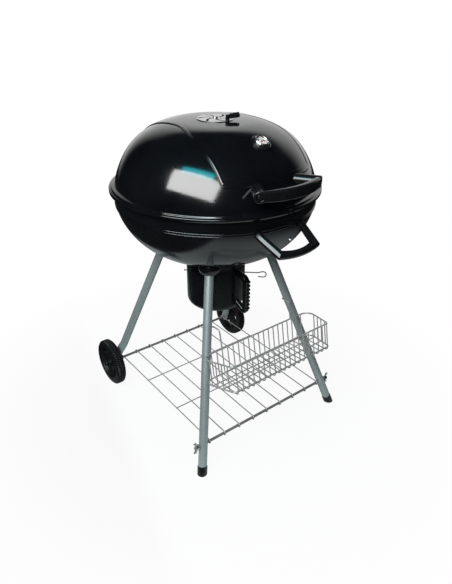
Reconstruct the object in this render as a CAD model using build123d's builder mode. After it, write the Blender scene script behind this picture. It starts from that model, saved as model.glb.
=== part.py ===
from build123d import *
import math
import os

os.makedirs("parts", exist_ok=True)

# Kettle grill standing on the floor. The kettle axis is the Z axis, the front is at -Y.
# Lengths are millimetres and angles are degrees.

# Kettle: one radius drives the bowl and the lid, whose sections are chains of tangent arcs.
KETTLE_R = 278.5
RIM_Z = 710.0
SHEET = 1.2
LID_RATIOS = (5.510, 0.7784, 0.5838, 0.8292)
LID_TURNS = (3.41, 25.53, 26.03, 22.27)
BOWL_RATIOS = (1.4152, 0.7189, 0.6368)
BOWL_TURNS = (24.72, 36.71, 28.57)
LID_LIFT = 20.0
FLANGE_OUT = 16.0
FLANGE_DROP = 15.5
RIM_ROLL_R = 3.0
RIM_DROP = 6.4
BEAD_R = 1.5
BEAD_SLOPES = (80.2, 78.1)
EMBOSS = 1.2
PANEL_HALF = 140.0
PANEL_WAIST = 115.0

# Lid fittings.
VENT_R = 49.0
VENT_T = 1.5
VENT_SLOTS = 6
VENT_SLOT_W = 6.4
LEVER_AT = -37.0
LEVER_R = 31.0
LEVER_RISE = 9.0
GRIP_R = 5.8
THERMO_SLOPE = 28.5
THERMO_R = 35.0
CASE_R = 25.0
STEM_LEN = 62.0
NEEDLE_AT = 225.0
LID_HANDLE_Z = 768.0
LID_HANDLE_REACH = 318.0
LID_HANDLE_T = 16.0
LID_HANDLE_H = 26.0
LID_POST_R = 14.5
LID_POST_FOOT = (76.0, 252.0)
LID_POST_END = (109.0, 291.5)

# Bowl fittings.
BOWL_HANDLE_Z = 668.0
BOWL_HANDLE_BASE = 266.0
BOWL_HANDLE_REACH = 340.0
BOWL_HANDLE_DIP = 21.0
BOWL_HANDLE_HALF = 83.0
BOWL_HANDLE_W = 19.0
BOWL_HANDLE_T = 20.0
COLLAR_R = 80.0
COLLAR_T = 1.4
COLLAR_BOTTOM = 432.0
COLLAR_FLANGE_R = 93.0
COLLAR_FLANGE_Z = 465.2
BRACKET_ANGLES = (-78.0, 32.0, 142.0)
BRACKET_SLOPE = 60.0
BRACKET_TOP = 668.0
GRATE_R = 256.0
GRATE_WIRE = 3.0
GRATE_BARS = 19
CHARCOAL_SLOPE = 45.0
CHARCOAL_BARS = 13

# Stand: leg axes lean inwards by these slopes as they rise.
LEG_X = 255.1
LEG_Y = 274.6
LEAN_X = 0.2838
LEAN_Y = 0.3077
LEG_R = 12.5
LEG_WALL = 1.5
SOCKET_H = 30.0
SOCKET_R = 29.5
BOLT_R = 3.0
CAP_R = 14.0
CAP_TOP = 25.0
WHEEL_R = 77.6
WHEEL_W = 30.0
TREADS = 36
SPOKES = 4
RIM_R = 57.0
ROD_R = 4.0
FIT = 0.06
TAB_T = 7.0
TAB_W = 30.0
SHELF_HALF = 213.0
SHELF_WIRES = 9
SHELF_WIRE = 1.75

# Ash catcher.
BUCKET_R = 85.0
BUCKET_TOP = 464.7
BUCKET_BOTTOM = 348.0
BUCKET_EDGE = 22.0
ASH_HANDLE_AT = -69.0
ASH_HANDLE_R = 127.0
ASH_HANDLE_T = 18.0
DAMPER_AT = -42.0
DAMPER_Z = 445.0
DAMPER_WIRE = 1.75
DAMPER_PLATE_R = 70.0

# Wire basket hung on the front legs, its front edge tipped up.
BASKET_BACK = 202.0
BASKET_FRONT = 175.0
BASKET_DEPTH = 106.0
BASKET_H = 74.0
BASKET_TILT = 10.5
BASKET_Z = 326.6
BASKET_RAIL = 2.2
BASKET_WIRE = 1.6
BASKET_CROSS = 19
HOOK_X = 128.0
HOOK_Z = 378.0
HOOK_WIRE = 2.0


def arc_point(ratios, turns, slope, shift=0.0):
    """Radius and height change where a chain of tangent arcs, begun on the axis, has this slope."""
    r = 0.0
    rise = 0.0
    done = 0.0
    for ratio, turn in zip(ratios, turns):
        step = min(turn, slope - done)
        if step <= 0:
            break
        a = math.radians(done)
        b = math.radians(done + step)
        radius = ratio * KETTLE_R + shift
        r += radius * (math.sin(b) - math.sin(a))
        rise += radius * (math.cos(a) - math.cos(b))
        done += step
    return r, rise


def draw_arcs(ratios, turns, start_z, side, shift=0.0):
    """Draw the chain in the active line from the axis; side is -1 to fall and 1 to rise."""
    point = Vector(0, start_z)
    done = 0.0
    for ratio, turn in zip(ratios, turns):
        a = math.radians(done)
        heading = (math.cos(a), side * math.sin(a))
        arc = JernArc(point, heading, ratio * KETTLE_R + shift, side * turn)
        point = arc @ 1
        done += turn
    return point


def radial(angle):
    """Upright plane through the kettle axis, X outwards at this plan angle and Y up."""
    a = math.radians(angle)
    return Plane((0, 0, 0), x_dir=(math.cos(a), math.sin(a), 0), z_dir=(math.sin(a), -math.cos(a), 0))


def leg_point(sx, sy, z):
    """Point on a leg axis at height z; sx and sy choose the leg."""
    return Vector(sx * (LEG_X - LEAN_X * z), sy * (LEG_Y - LEAN_Y * z), z)


def leg_plane(sx, sy, z):
    """Plane across a leg at height z, Z along the leg upwards."""
    along = Vector(-sx * LEAN_X, -sy * LEAN_Y, 1).normalized()
    across = (Vector(1, 0, 0) - along * along.X).normalized()
    return Plane(leg_point(sx, sy, z), x_dir=across, z_dir=along)


def leg_section(sx, sy, z):
    """Plane along a leg for turned shapes: X across the leg and Y up the leg."""
    base = leg_plane(sx, sy, z)
    return Plane(base.origin, x_dir=base.x_dir, z_dir=base.x_dir.cross(base.z_dir))


def post_plane(side):
    """Plane on the outer end of a lid handle post, Z outwards along the post."""
    out = Vector(side * (LID_POST_END[0] - LID_POST_FOOT[0]), LID_POST_FOOT[1] - LID_POST_END[1], 0)
    place = (side * LID_POST_END[0], -LID_POST_END[1], LID_HANDLE_Z)
    return Plane(place, x_dir=(0, 0, 1), z_dir=out.normalized())


# Heights and points that follow from the dimensions.
LID_SLOPE = sum(LID_TURNS)
LID_R, LID_RISE = arc_point(LID_RATIOS, LID_TURNS, LID_SLOPE)
LID_IN_R, LID_IN_RISE = arc_point(LID_RATIOS, LID_TURNS, LID_SLOPE, -SHEET)
LID_EDGE = RIM_Z + LID_LIFT
LID_TOP = LID_EDGE + LID_RISE
FLANGE_R = LID_R + FLANGE_OUT
BOWL_EDGE, BOWL_DEPTH = arc_point(BOWL_RATIOS, BOWL_TURNS, 90.0)
BOWL_BOTTOM = RIM_Z - BOWL_DEPTH
AXLE_Y = LEG_Y - LEAN_Y * WHEEL_R
AXLE_X = LEG_X - LEAN_X * (WHEEL_R + 14)
ROD_X = LEG_X - LEAN_X * WHEEL_R
KETTLE_AXIS = Axis((0, 0, 0), (0, 0, 1))

low = 0.0
high = 90.0
for _ in range(40):
    middle = (low + high) / 2
    meet_r, meet_rise = arc_point(BOWL_RATIOS, BOWL_TURNS, middle)
    meet = leg_point(1, 1, BOWL_BOTTOM + meet_rise)
    if math.hypot(meet.X, meet.Y) > meet_r:
        low = middle
    else:
        high = middle
LEG_MEET = BOWL_BOTTOM + meet_rise
LEG_TOP = LEG_MEET - 8
LEG_LOW = 11.0
LEG_STEEP = math.sqrt(1 + LEAN_X**2 + LEAN_Y**2)

# Solid envelopes of the bowl, the lid and the raised panel, for fitting the pieces that sit on them.
with BuildPart() as bowl_solid:
    with BuildSketch(Plane.XZ):
        with BuildLine():
            bowl_end = draw_arcs(BOWL_RATIOS, BOWL_TURNS, BOWL_BOTTOM, 1)
            Polyline(bowl_end, (0, RIM_Z), (0, BOWL_BOTTOM))
        make_face()
        for slope in BEAD_SLOPES:
            bead_r, bead_rise = arc_point(BOWL_RATIOS, BOWL_TURNS, slope)
            with Locations((bead_r + 0.45, BOWL_BOTTOM + bead_rise)):
                Circle(BEAD_R)
    revolve(axis=KETTLE_AXIS)

with BuildPart() as bowl_hollow:
    with BuildSketch(Plane.XZ):
        with BuildLine():
            hollow_end = draw_arcs(BOWL_RATIOS, BOWL_TURNS, BOWL_BOTTOM + SHEET, 1, -SHEET)
            Polyline(hollow_end, (0, RIM_Z), (0, BOWL_BOTTOM + SHEET))
        make_face()
    revolve(axis=KETTLE_AXIS)

with BuildPart() as dome_solid:
    with BuildSketch(Plane.XZ):
        with BuildLine():
            dome_end = draw_arcs(LID_RATIOS, LID_TURNS, LID_TOP, -1)
            Polyline(dome_end, (0, LID_EDGE), (0, LID_TOP))
        make_face()
    revolve(axis=KETTLE_AXIS)

with BuildPart() as raised_solid:
    with BuildSketch(Plane.XZ):
        with BuildLine():
            raised_end = draw_arcs(LID_RATIOS, LID_TURNS, LID_TOP + EMBOSS, -1, EMBOSS)
            Polyline(raised_end, (0, LID_EDGE - 1), (0, LID_TOP + EMBOSS))
        make_face()
    revolve(axis=KETTLE_AXIS)

with BuildPart() as sunk_solid:
    with BuildSketch(Plane.XZ):
        with BuildLine():
            sunk_end = draw_arcs(LID_RATIOS, LID_TURNS, LID_TOP - SHEET / 2, -1, -SHEET / 2)
            Polyline(sunk_end, (0, LID_EDGE - 2), (0, LID_TOP - SHEET / 2))
        make_face()
    revolve(axis=KETTLE_AXIS)

with BuildPart() as lid_panel:
    with BuildSketch(Plane.XY.offset(LID_EDGE)):
        with BuildLine():
            front = math.sqrt((0.905 * KETTLE_R) ** 2 - (PANEL_HALF - 2) ** 2)
            back = math.sqrt((0.905 * KETTLE_R) ** 2 - PANEL_WAIST**2)
            Line((PANEL_HALF, -front), (PANEL_HALF, -119))
            Bezier((PANEL_HALF, -119), (PANEL_HALF, -70), (PANEL_WAIST, -40), (PANEL_WAIST, 20))
            Line((PANEL_WAIST, 20), (PANEL_WAIST, back))
            ThreePointArc((PANEL_WAIST, back), (0, 0.905 * KETTLE_R), (-PANEL_WAIST, back))
            Line((-PANEL_WAIST, back), (-PANEL_WAIST, 20))
            Bezier((-PANEL_WAIST, 20), (-PANEL_WAIST, -40), (-PANEL_HALF, -70), (-PANEL_HALF, -119))
            Line((-PANEL_HALF, -119), (-PANEL_HALF, -front))
            ThreePointArc((-PANEL_HALF, -front), (0, -0.905 * KETTLE_R), (PANEL_HALF, -front))
        make_face()
        fillet(vertices().group_by(Axis.Y)[0], 14)
        fillet(vertices().group_by(Axis.Y)[-1], 14)
    extrude(amount=LID_RISE + 20)
    add(raised_solid.part, mode=Mode.INTERSECT)
    add(sunk_solid.part, mode=Mode.SUBTRACT)

# Thermometer plane on the raised panel and the two lid handle posts.
thermo_r, thermo_fall = arc_point(LID_RATIOS, LID_TURNS, THERMO_SLOPE, EMBOSS)
thermo_sin = math.sin(math.radians(THERMO_SLOPE))
thermo_cos = math.cos(math.radians(THERMO_SLOPE))
THERMO = Plane(
    (0, -thermo_r, LID_TOP + EMBOSS - thermo_fall),
    x_dir=(1, 0, 0),
    z_dir=(0, -thermo_sin, thermo_cos),
)
POST_LEN = math.hypot(LID_POST_END[0] - LID_POST_FOOT[0], LID_POST_END[1] - LID_POST_FOOT[1])
VENT_BASE = LID_TOP + EMBOSS + 0.3
VENT_BEND = LID_RATIOS[0] * KETTLE_R + EMBOSS + 0.3

# Lid.
with BuildPart() as lid_shell:
    with BuildSketch(Plane.XZ):
        with BuildLine():
            lid_out = draw_arcs(LID_RATIOS, LID_TURNS, LID_TOP, -1)
            lid_in = draw_arcs(LID_RATIOS, LID_TURNS, LID_TOP - SHEET, -1, -SHEET)
            Polyline(
                lid_out,
                (LID_R + 9, LID_EDGE - 2),
                (LID_R + 10.5, LID_EDGE - 6),
                (FLANGE_R, LID_EDGE - 8),
                (FLANGE_R, LID_EDGE - FLANGE_DROP),
                (FLANGE_R - SHEET, LID_EDGE - FLANGE_DROP),
                (FLANGE_R - SHEET, LID_EDGE - 9),
                (LID_R + 9.2, LID_EDGE - 7),
                (LID_R + 8, LID_EDGE - 3.2),
                lid_in,
            )
            Line((0, LID_TOP), (0, LID_TOP - SHEET))
        make_face()
    revolve(axis=KETTLE_AXIS)
    add(lid_panel.part)
    with BuildSketch(Plane.XY.offset(LID_TOP - 20)):
        Circle(BOLT_R + FIT)
        with PolarLocations(0, VENT_SLOTS):
            SlotArc(ThreePointArc((14, 0), (28, 5.5), (39, 19)), VENT_SLOT_W)
    extrude(amount=60, mode=Mode.SUBTRACT)
    with BuildSketch(THERMO):
        Circle(4)
    extrude(amount=10, both=True, mode=Mode.SUBTRACT)
    with BuildSketch(post_plane(1), post_plane(-1)):
        Circle(2.8)
    extrude(amount=-POST_LEN - 40, mode=Mode.SUBTRACT)
lid_shell.part.label = "lid_shell"
export_step(lid_shell.part, "parts/lid_shell.step")

# Lid handle: a bowed grip between two splayed round posts with screw recesses in their outer ends.
with BuildPart() as lid_handle:
    with BuildSketch(Plane.XY.offset(LID_HANDLE_Z - LID_HANDLE_H / 2)):
        with BuildLine():
            grip_x = LID_POST_END[0] - 9
            grip_y = LID_POST_END[1] + 5.5
            ThreePointArc((-grip_x, -grip_y), (0, -LID_HANDLE_REACH), (grip_x, -grip_y))
            Line((grip_x, -grip_y), (grip_x - 6, -grip_y + LID_HANDLE_T - 1))
            ThreePointArc(
                (grip_x - 6, -grip_y + LID_HANDLE_T - 1),
                (0, -LID_HANDLE_REACH + LID_HANDLE_T),
                (-grip_x + 6, -grip_y + LID_HANDLE_T - 1),
            )
            Line((-grip_x + 6, -grip_y + LID_HANDLE_T - 1), (-grip_x, -grip_y))
        make_face()
    extrude(amount=LID_HANDLE_H)
    fillet(edges().filter_by(GeomType.CIRCLE), 5)
    with BuildSketch(post_plane(1), post_plane(-1)):
        Circle(LID_POST_R)
    extrude(amount=-POST_LEN - 25)
    with BuildSketch(post_plane(1), post_plane(-1)):
        Circle(9)
    extrude(amount=-8, mode=Mode.SUBTRACT)
    with BuildSketch(post_plane(1), post_plane(-1)):
        Circle(2.6)
    extrude(amount=-POST_LEN - 25, mode=Mode.SUBTRACT)
    add(dome_solid.part, mode=Mode.SUBTRACT)
lid_handle.part.label = "lid_handle"
export_step(lid_handle.part, "parts/lid_handle.step")

with BuildPart() as lid_handle_screws:
    with BuildSketch(post_plane(1).offset(-8), post_plane(-1).offset(-8)):
        Circle(6.5)
    extrude(amount=4.5)
    with BuildSketch(post_plane(1).offset(-8), post_plane(-1).offset(-8)):
        Circle(2.5)
    extrude(amount=-POST_LEN - 5)
lid_handle_screws.part.label = "lid_handle_screws"
export_step(lid_handle_screws.part, "parts/lid_handle_screws.step")

with BuildPart() as lid_handle_nuts:
    with BuildSketch(post_plane(1).offset(-POST_LEN - 7), post_plane(-1).offset(-POST_LEN - 7)):
        RegularPolygon(5.5, 6)
        Circle(2.6, mode=Mode.SUBTRACT)
    extrude(amount=-4)
lid_handle_nuts.part.label = "lid_handle_nuts"
export_step(lid_handle_nuts.part, "parts/lid_handle_nuts.step")

# Vent: a dished disc with curved slots turns on a rivet over matching slots in the lid.
with BuildPart() as vent_disc:
    with BuildSketch(Plane.XZ):
        with BuildLine():
            vent_turn = math.degrees(math.asin(VENT_R / VENT_BEND))
            vent_low = JernArc((0, VENT_BASE), (1, 0), VENT_BEND, -vent_turn)
            vent_high = JernArc((0, VENT_BASE + VENT_T), (1, 0), VENT_BEND + VENT_T, -vent_turn)
            Line(vent_low @ 1, vent_high @ 1)
            Line((0, VENT_BASE), (0, VENT_BASE + VENT_T))
        make_face()
    revolve(axis=KETTLE_AXIS)
    with BuildSketch(Plane.XY.offset(LID_TOP - 20)):
        Circle(BOLT_R + FIT)
        with PolarLocations(0, VENT_SLOTS):
            SlotArc(ThreePointArc((14, 0), (28, 5.5), (39, 19)), VENT_SLOT_W)
    extrude(amount=60, mode=Mode.SUBTRACT)
vent_disc.part.label = "vent_disc"
export_step(vent_disc.part, "parts/vent_disc.step")

with BuildPart() as vent_rivet:
    with BuildSketch(Plane.XY.offset(LID_TOP - SHEET - 2.4)):
        Circle(6.5)
    extrude(amount=2)
    with BuildSketch(Plane.XY.offset(LID_TOP - SHEET - 1)):
        Circle(BOLT_R)
    extrude(amount=VENT_BASE + VENT_T - LID_TOP + SHEET + 2)
    with BuildSketch(Plane.XY.offset(VENT_BASE + VENT_T + 0.4)):
        Circle(7.5)
    extrude(amount=3)
    fillet(edges().group_by(Axis.Z)[-1], 2)
vent_rivet.part.label = "vent_rivet"
export_step(vent_rivet.part, "parts/vent_rivet.step")

# The lever arm leaves the post near its top and climbs a little as it runs outwards.
lever_run = radial(LEVER_AT)
lever_tilt = math.radians(LEVER_RISE)
lever_foot = VENT_BASE + VENT_T - (LEVER_R**2) / (2 * VENT_BEND)
lever_start = lever_run.from_local_coords(Vector(LEVER_R, lever_foot + 10, 0))
lever_dir = lever_run.from_local_coords(Vector(math.cos(lever_tilt), math.sin(lever_tilt), 0))
LEVER_LINE = Plane(lever_start, x_dir=lever_run.z_dir, z_dir=lever_dir)

with BuildPart() as vent_lever:
    with BuildSketch(Plane.XY.offset(lever_foot + 0.1)):
        with Locations((LEVER_R * lever_run.x_dir.X, LEVER_R * lever_run.x_dir.Y)):
            Circle(4)
    extrude(amount=13)
    with BuildSketch(LEVER_LINE):
        Circle(2)
    extrude(amount=28)
vent_lever.part.label = "vent_lever"
export_step(vent_lever.part, "parts/vent_lever.step")

with BuildPart() as vent_grip:
    with BuildSketch(Plane(lever_start, x_dir=lever_run.z_dir, z_dir=-LEVER_LINE.y_dir)):
        with BuildLine():
            grip_low = 6.0
            grip_high = 32.0
            grip_line = [(0, 28.2), (0, grip_high), (GRIP_R - 1, grip_high), (GRIP_R, grip_high - 1)]
            for k in range(5):
                top = grip_high - 3 - 4 * k
                grip_line += [(GRIP_R, top), (GRIP_R - 0.6, top - 0.6), (GRIP_R, top - 1.2)]
            grip_line += [(GRIP_R, grip_low), (2.05, grip_low), (2.05, 28.2), (0, 28.2)]
            Polyline(*grip_line)
        make_face()
    revolve(axis=Axis(lever_start, lever_dir))
vent_grip.part.label = "vent_grip"
export_step(vent_grip.part, "parts/vent_grip.step")

# Thermometer: seat trimmed to the panel, then case, dial, needle, lens, stem and nut on one axis.
with BuildPart() as thermometer_seat:
    with BuildSketch(THERMO.offset(-9)):
        Circle(THERMO_R)
    extrude(amount=14)
    with BuildSketch(THERMO.offset(5)):
        Circle(THERMO_R)
    extrude(amount=4, taper=50)
    with BuildSketch(THERMO.offset(1)):
        Circle(CASE_R + 0.1)
    extrude(amount=20, mode=Mode.SUBTRACT)
    with BuildSketch(THERMO):
        Circle(3.4)
    extrude(amount=20, both=True, mode=Mode.SUBTRACT)
    add(raised_solid.part, mode=Mode.SUBTRACT)
thermometer_seat.part.label = "thermometer_seat"
export_step(thermometer_seat.part, "parts/thermometer_seat.step")

with BuildPart() as thermometer_case:
    with BuildSketch(THERMO.offset(1)):
        Circle(CASE_R)
    extrude(amount=13.5)
    fillet(edges().group_by(lambda e: THERMO.to_local_coords(e.center()).Z)[-1], 2)
    with BuildSketch(THERMO.offset(2.5)):
        Circle(CASE_R - 7)
    extrude(amount=20, mode=Mode.SUBTRACT)
    with BuildSketch(THERMO.offset(7)):
        Circle(CASE_R - 3.4)
    extrude(amount=6, mode=Mode.SUBTRACT)
    with BuildSketch(THERMO.offset(12.9)):
        Circle(CASE_R - 4.6)
    extrude(amount=6, mode=Mode.SUBTRACT)
    with BuildSketch(THERMO):
        Circle(3.06)
    extrude(amount=20, mode=Mode.SUBTRACT)
thermometer_case.part.label = "thermometer_case"
export_step(thermometer_case.part, "parts/thermometer_case.step")

with BuildPart() as thermometer_dial:
    with BuildSketch(THERMO.offset(7)):
        Circle(CASE_R - 3.5)
        Circle(1.4, mode=Mode.SUBTRACT)
    extrude(amount=0.8)
thermometer_dial.part.label = "thermometer_dial"
export_step(thermometer_dial.part, "parts/thermometer_dial.step")

with BuildPart() as thermometer_needle:
    with BuildSketch(THERMO.offset(8.6)):
        Circle(2.4)
        with Locations(Location((0, 0), NEEDLE_AT)):
            with Locations((5, 0)):
                Trapezoid(20, 1.8, 87.5, rotation=0)
        Circle(1.05, mode=Mode.SUBTRACT)
    extrude(amount=0.6)
thermometer_needle.part.label = "thermometer_needle"
export_step(thermometer_needle.part, "parts/thermometer_needle.step")

with BuildPart() as thermometer_lens:
    with BuildSketch(THERMO.offset(11.3)):
        Circle(CASE_R - 3.5)
    extrude(amount=1.5)
thermometer_lens.part.label = "thermometer_lens"
export_step(thermometer_lens.part, "parts/thermometer_lens.step")

with BuildPart() as thermometer_stem:
    with BuildSketch(THERMO.offset(3.5)):
        Circle(3)
    extrude(amount=-STEM_LEN)
    with BuildSketch(THERMO.offset(3.5)):
        Circle(1)
    extrude(amount=6.5)
thermometer_stem.part.label = "thermometer_stem"
export_step(thermometer_stem.part, "parts/thermometer_stem.step")

with BuildPart() as thermometer_nut:
    with BuildSketch(THERMO.offset(-EMBOSS - SHEET - 0.5)):
        RegularPolygon(8, 6)
        Circle(3.05, mode=Mode.SUBTRACT)
    extrude(amount=-5)
thermometer_nut.part.label = "thermometer_nut"
export_step(thermometer_nut.part, "parts/thermometer_nut.step")

# Bowl with a rolled rim and two pressed beads.
HANDLE_DIP = math.radians(BOWL_HANDLE_DIP)
BOWL_LOOP = Plane(
    (0, -BOWL_HANDLE_BASE, BOWL_HANDLE_Z),
    x_dir=(1, 0, 0),
    z_dir=(0, -math.sin(HANDLE_DIP), math.cos(HANDLE_DIP)),
)
LOOP_SPAN = BOWL_HANDLE_REACH - BOWL_HANDLE_BASE - BOWL_HANDLE_T / 2 * math.sin(HANDLE_DIP)
LOOP_OUT = LOOP_SPAN / math.cos(HANDLE_DIP)
LOOP_X = BOWL_HANDLE_HALF - BOWL_HANDLE_W / 2


def bracket_base():
    """Foot of a grate bracket on the inner face of the bowl, with its tangent and inward normal."""
    r, rise = arc_point(BOWL_RATIOS, BOWL_TURNS, BRACKET_SLOPE, -SHEET)
    a = math.radians(BRACKET_SLOPE)
    along = Vector(math.cos(a), math.sin(a))
    inward = Vector(-math.sin(a), math.cos(a))
    return Vector(r, BOWL_BOTTOM + SHEET + rise) + inward * 0.5, along, inward


foot, foot_along, foot_in = bracket_base()
BRACKET_BOLTS = []
for angle in BRACKET_ANGLES:
    turned = radial(angle)
    spot = turned.from_local_coords(Vector(foot.X, foot.Y, 0))
    face = turned.from_local_coords(Vector(foot_in.X, foot_in.Y, 0))
    BRACKET_BOLTS.append(Plane(spot, x_dir=turned.z_dir, z_dir=face))
LEG_SIGNS = ((-1, -1), (1, -1), (-1, 1), (1, 1))
LEG_BOLTS = [leg_plane(sx, sy, LEG_MEET) for sx, sy in LEG_SIGNS]
LOOP_BOLTS = []
for side in (-1, 1):
    seat = BOWL_LOOP.from_local_coords(Vector(side * LOOP_X, 0, 0))
    LOOP_BOLTS.append(Plane(seat, x_dir=(1, 0, 0), z_dir=BOWL_LOOP.y_dir))

with BuildPart() as bowl:
    with BuildSketch(Plane.XZ):
        with BuildLine():
            bowl_out = draw_arcs(BOWL_RATIOS, BOWL_TURNS, BOWL_BOTTOM, 1)
            bowl_in = draw_arcs(BOWL_RATIOS, BOWL_TURNS, BOWL_BOTTOM + SHEET, 1, -SHEET)
            rim = LID_EDGE - RIM_DROP
            Polyline(bowl_out, (BOWL_EDGE, rim), (BOWL_EDGE - SHEET, rim), bowl_in)
            Line((0, BOWL_BOTTOM), (0, BOWL_BOTTOM + SHEET))
        make_face()
        with Locations((BOWL_EDGE + 1, rim)):
            Circle(RIM_ROLL_R)
        for slope in BEAD_SLOPES:
            bead_r, bead_rise = arc_point(BOWL_RATIOS, BOWL_TURNS, slope)
            with Locations((bead_r + 0.45, BOWL_BOTTOM + bead_rise)):
                Circle(BEAD_R)
    revolve(axis=KETTLE_AXIS)
    with BuildSketch(Plane.XY.offset(BOWL_BOTTOM - 20)):
        Circle(COLLAR_R - COLLAR_T)
    extrude(amount=60, mode=Mode.SUBTRACT)
    with BuildSketch(*LEG_BOLTS):
        Circle(BOLT_R + 0.2)
    extrude(amount=12, both=True, mode=Mode.SUBTRACT)
    with BuildSketch(*BRACKET_BOLTS):
        Circle(BOLT_R + 0.2)
    extrude(amount=6, both=True, mode=Mode.SUBTRACT)
    with BuildSketch(*LOOP_BOLTS):
        Circle(BOLT_R + 0.2)
    extrude(amount=30, both=True, mode=Mode.SUBTRACT)
bowl.part.label = "bowl"
export_step(bowl.part, "parts/bowl.step")

# Bowl handle: a flat bowed loop dipping away from the bowl.
with BuildPart() as bowl_handle:
    with BuildSketch(BOWL_LOOP.offset(-BOWL_HANDLE_T / 2)):
        with BuildLine():
            half = BOWL_HANDLE_HALF
            wide = BOWL_HANDLE_W
            knee = -LOOP_OUT + 24
            Line((-half, 30), (-half, knee))
            Line((-half, knee), (-half + 9, knee - 12))
            ThreePointArc((-half + 9, knee - 12), (0, -LOOP_OUT), (half - 9, knee - 12))
            Line((half - 9, knee - 12), (half, knee))
            Line((half, knee), (half, 30))
            Line((half, 30), (half - wide, 30))
            Line((half - wide, 30), (half - wide, knee + 5))
            ThreePointArc((half - wide, knee + 5), (0, -LOOP_OUT + wide), (-half + wide, knee + 5))
            Line((-half + wide, knee + 5), (-half + wide, 30))
            Line((-half + wide, 30), (-half, 30))
        make_face()
    extrude(amount=BOWL_HANDLE_T)
    add(bowl_solid.part, mode=Mode.SUBTRACT)
    with BuildSketch(*LOOP_BOLTS):
        Circle(BOLT_R + FIT)
    extrude(amount=25, both=True, mode=Mode.SUBTRACT)
bowl_handle.part.label = "bowl_handle"
export_step(bowl_handle.part, "parts/bowl_handle.step")

with BuildPart() as bowl_handle_bolts:
    with BuildSketch(*LOOP_BOLTS):
        Circle(6.5)
    extrude(amount=9)
    add(bowl_hollow.part, mode=Mode.INTERSECT)
    with BuildSketch(*LOOP_BOLTS):
        Circle(BOLT_R)
    extrude(amount=8)
    with BuildSketch(*LOOP_BOLTS):
        Circle(BOLT_R)
    extrude(amount=-24)
bowl_handle_bolts.part.label = "bowl_handle_bolts"
export_step(bowl_handle_bolts.part, "parts/bowl_handle_bolts.step")

# Ash outlet collar: a short tube under the bowl with a stop flange for the bucket.
DAMPER = radial(DAMPER_AT)
DAMPER_LINE = Plane((0, 0, DAMPER_Z), x_dir=(0, 0, 1), z_dir=DAMPER.x_dir)
with BuildPart() as ash_collar:
    with BuildSketch(Plane.XY.offset(COLLAR_BOTTOM)):
        Circle(COLLAR_R)
        Circle(COLLAR_R - COLLAR_T, mode=Mode.SUBTRACT)
    extrude(amount=BOWL_BOTTOM + 20 - COLLAR_BOTTOM)
    with BuildSketch(Plane.XY.offset(COLLAR_FLANGE_Z)):
        Circle(COLLAR_FLANGE_R)
        Circle(COLLAR_R - COLLAR_T / 2, mode=Mode.SUBTRACT)
    extrude(amount=2)
    add(bowl_solid.part, mode=Mode.SUBTRACT)
    with BuildSketch(DAMPER_LINE):
        Circle(DAMPER_WIRE + 0.08)
    extrude(amount=100, both=True, mode=Mode.SUBTRACT)
ash_collar.part.label = "ash_collar"
export_step(ash_collar.part, "parts/ash_collar.step")

# Grate brackets: a strip riveted to the bowl wall, an upright and a shelf for the cooking grate.
def bracket_outline():
    """Corners of the bent strip in its upright plane."""
    low = foot - foot_along * 12
    high = foot + foot_along * 12
    inner_low = low + foot_in * 2
    inner_step = (high.X - 2 - inner_low.X) / foot_along.X
    return [
        low,
        high,
        Vector(high.X, BRACKET_TOP),
        Vector(high.X - 20, BRACKET_TOP),
        Vector(high.X - 20, BRACKET_TOP - 2),
        Vector(high.X - 2, BRACKET_TOP - 2),
        inner_low + foot_along * inner_step,
        inner_low,
    ]


with BuildPart() as grate_bracket_front:
    with BuildSketch(radial(BRACKET_ANGLES[0]).offset(-9)):
        Polygon(*bracket_outline(), align=None)
    extrude(amount=18)
    with BuildSketch(BRACKET_BOLTS[0]):
        Circle(BOLT_R + FIT)
    extrude(amount=5, both=True, mode=Mode.SUBTRACT)
grate_bracket_front.part.label = "grate_bracket_front"
export_step(grate_bracket_front.part, "parts/grate_bracket_front.step")

with BuildPart() as grate_bracket_right:
    with BuildSketch(radial(BRACKET_ANGLES[1]).offset(-9)):
        Polygon(*bracket_outline(), align=None)
    extrude(amount=18)
    with BuildSketch(BRACKET_BOLTS[1]):
        Circle(BOLT_R + FIT)
    extrude(amount=5, both=True, mode=Mode.SUBTRACT)
grate_bracket_right.part.label = "grate_bracket_right"
export_step(grate_bracket_right.part, "parts/grate_bracket_right.step")

with BuildPart() as grate_bracket_left:
    with BuildSketch(radial(BRACKET_ANGLES[2]).offset(-9)):
        Polygon(*bracket_outline(), align=None)
    extrude(amount=18)
    with BuildSketch(BRACKET_BOLTS[2]):
        Circle(BOLT_R + FIT)
    extrude(amount=5, both=True, mode=Mode.SUBTRACT)
grate_bracket_left.part.label = "grate_bracket_left"
export_step(grate_bracket_left.part, "parts/grate_bracket_left.step")

with BuildPart() as bracket_rivets:
    with BuildSketch(*BRACKET_BOLTS):
        Circle(6)
    extrude(amount=-SHEET - 4)
    add(bowl_solid.part, mode=Mode.SUBTRACT)
    with BuildSketch(*BRACKET_BOLTS):
        Circle(BOLT_R)
    extrude(amount=3)
    with BuildSketch(*BRACKET_BOLTS):
        Circle(BOLT_R)
    extrude(amount=-SHEET - 2)
    with BuildSketch(*[plane.offset(2.05) for plane in BRACKET_BOLTS]):
        Circle(5)
    extrude(amount=2)
bracket_rivets.part.label = "bracket_rivets"
export_step(bracket_rivets.part, "parts/bracket_rivets.step")

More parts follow.
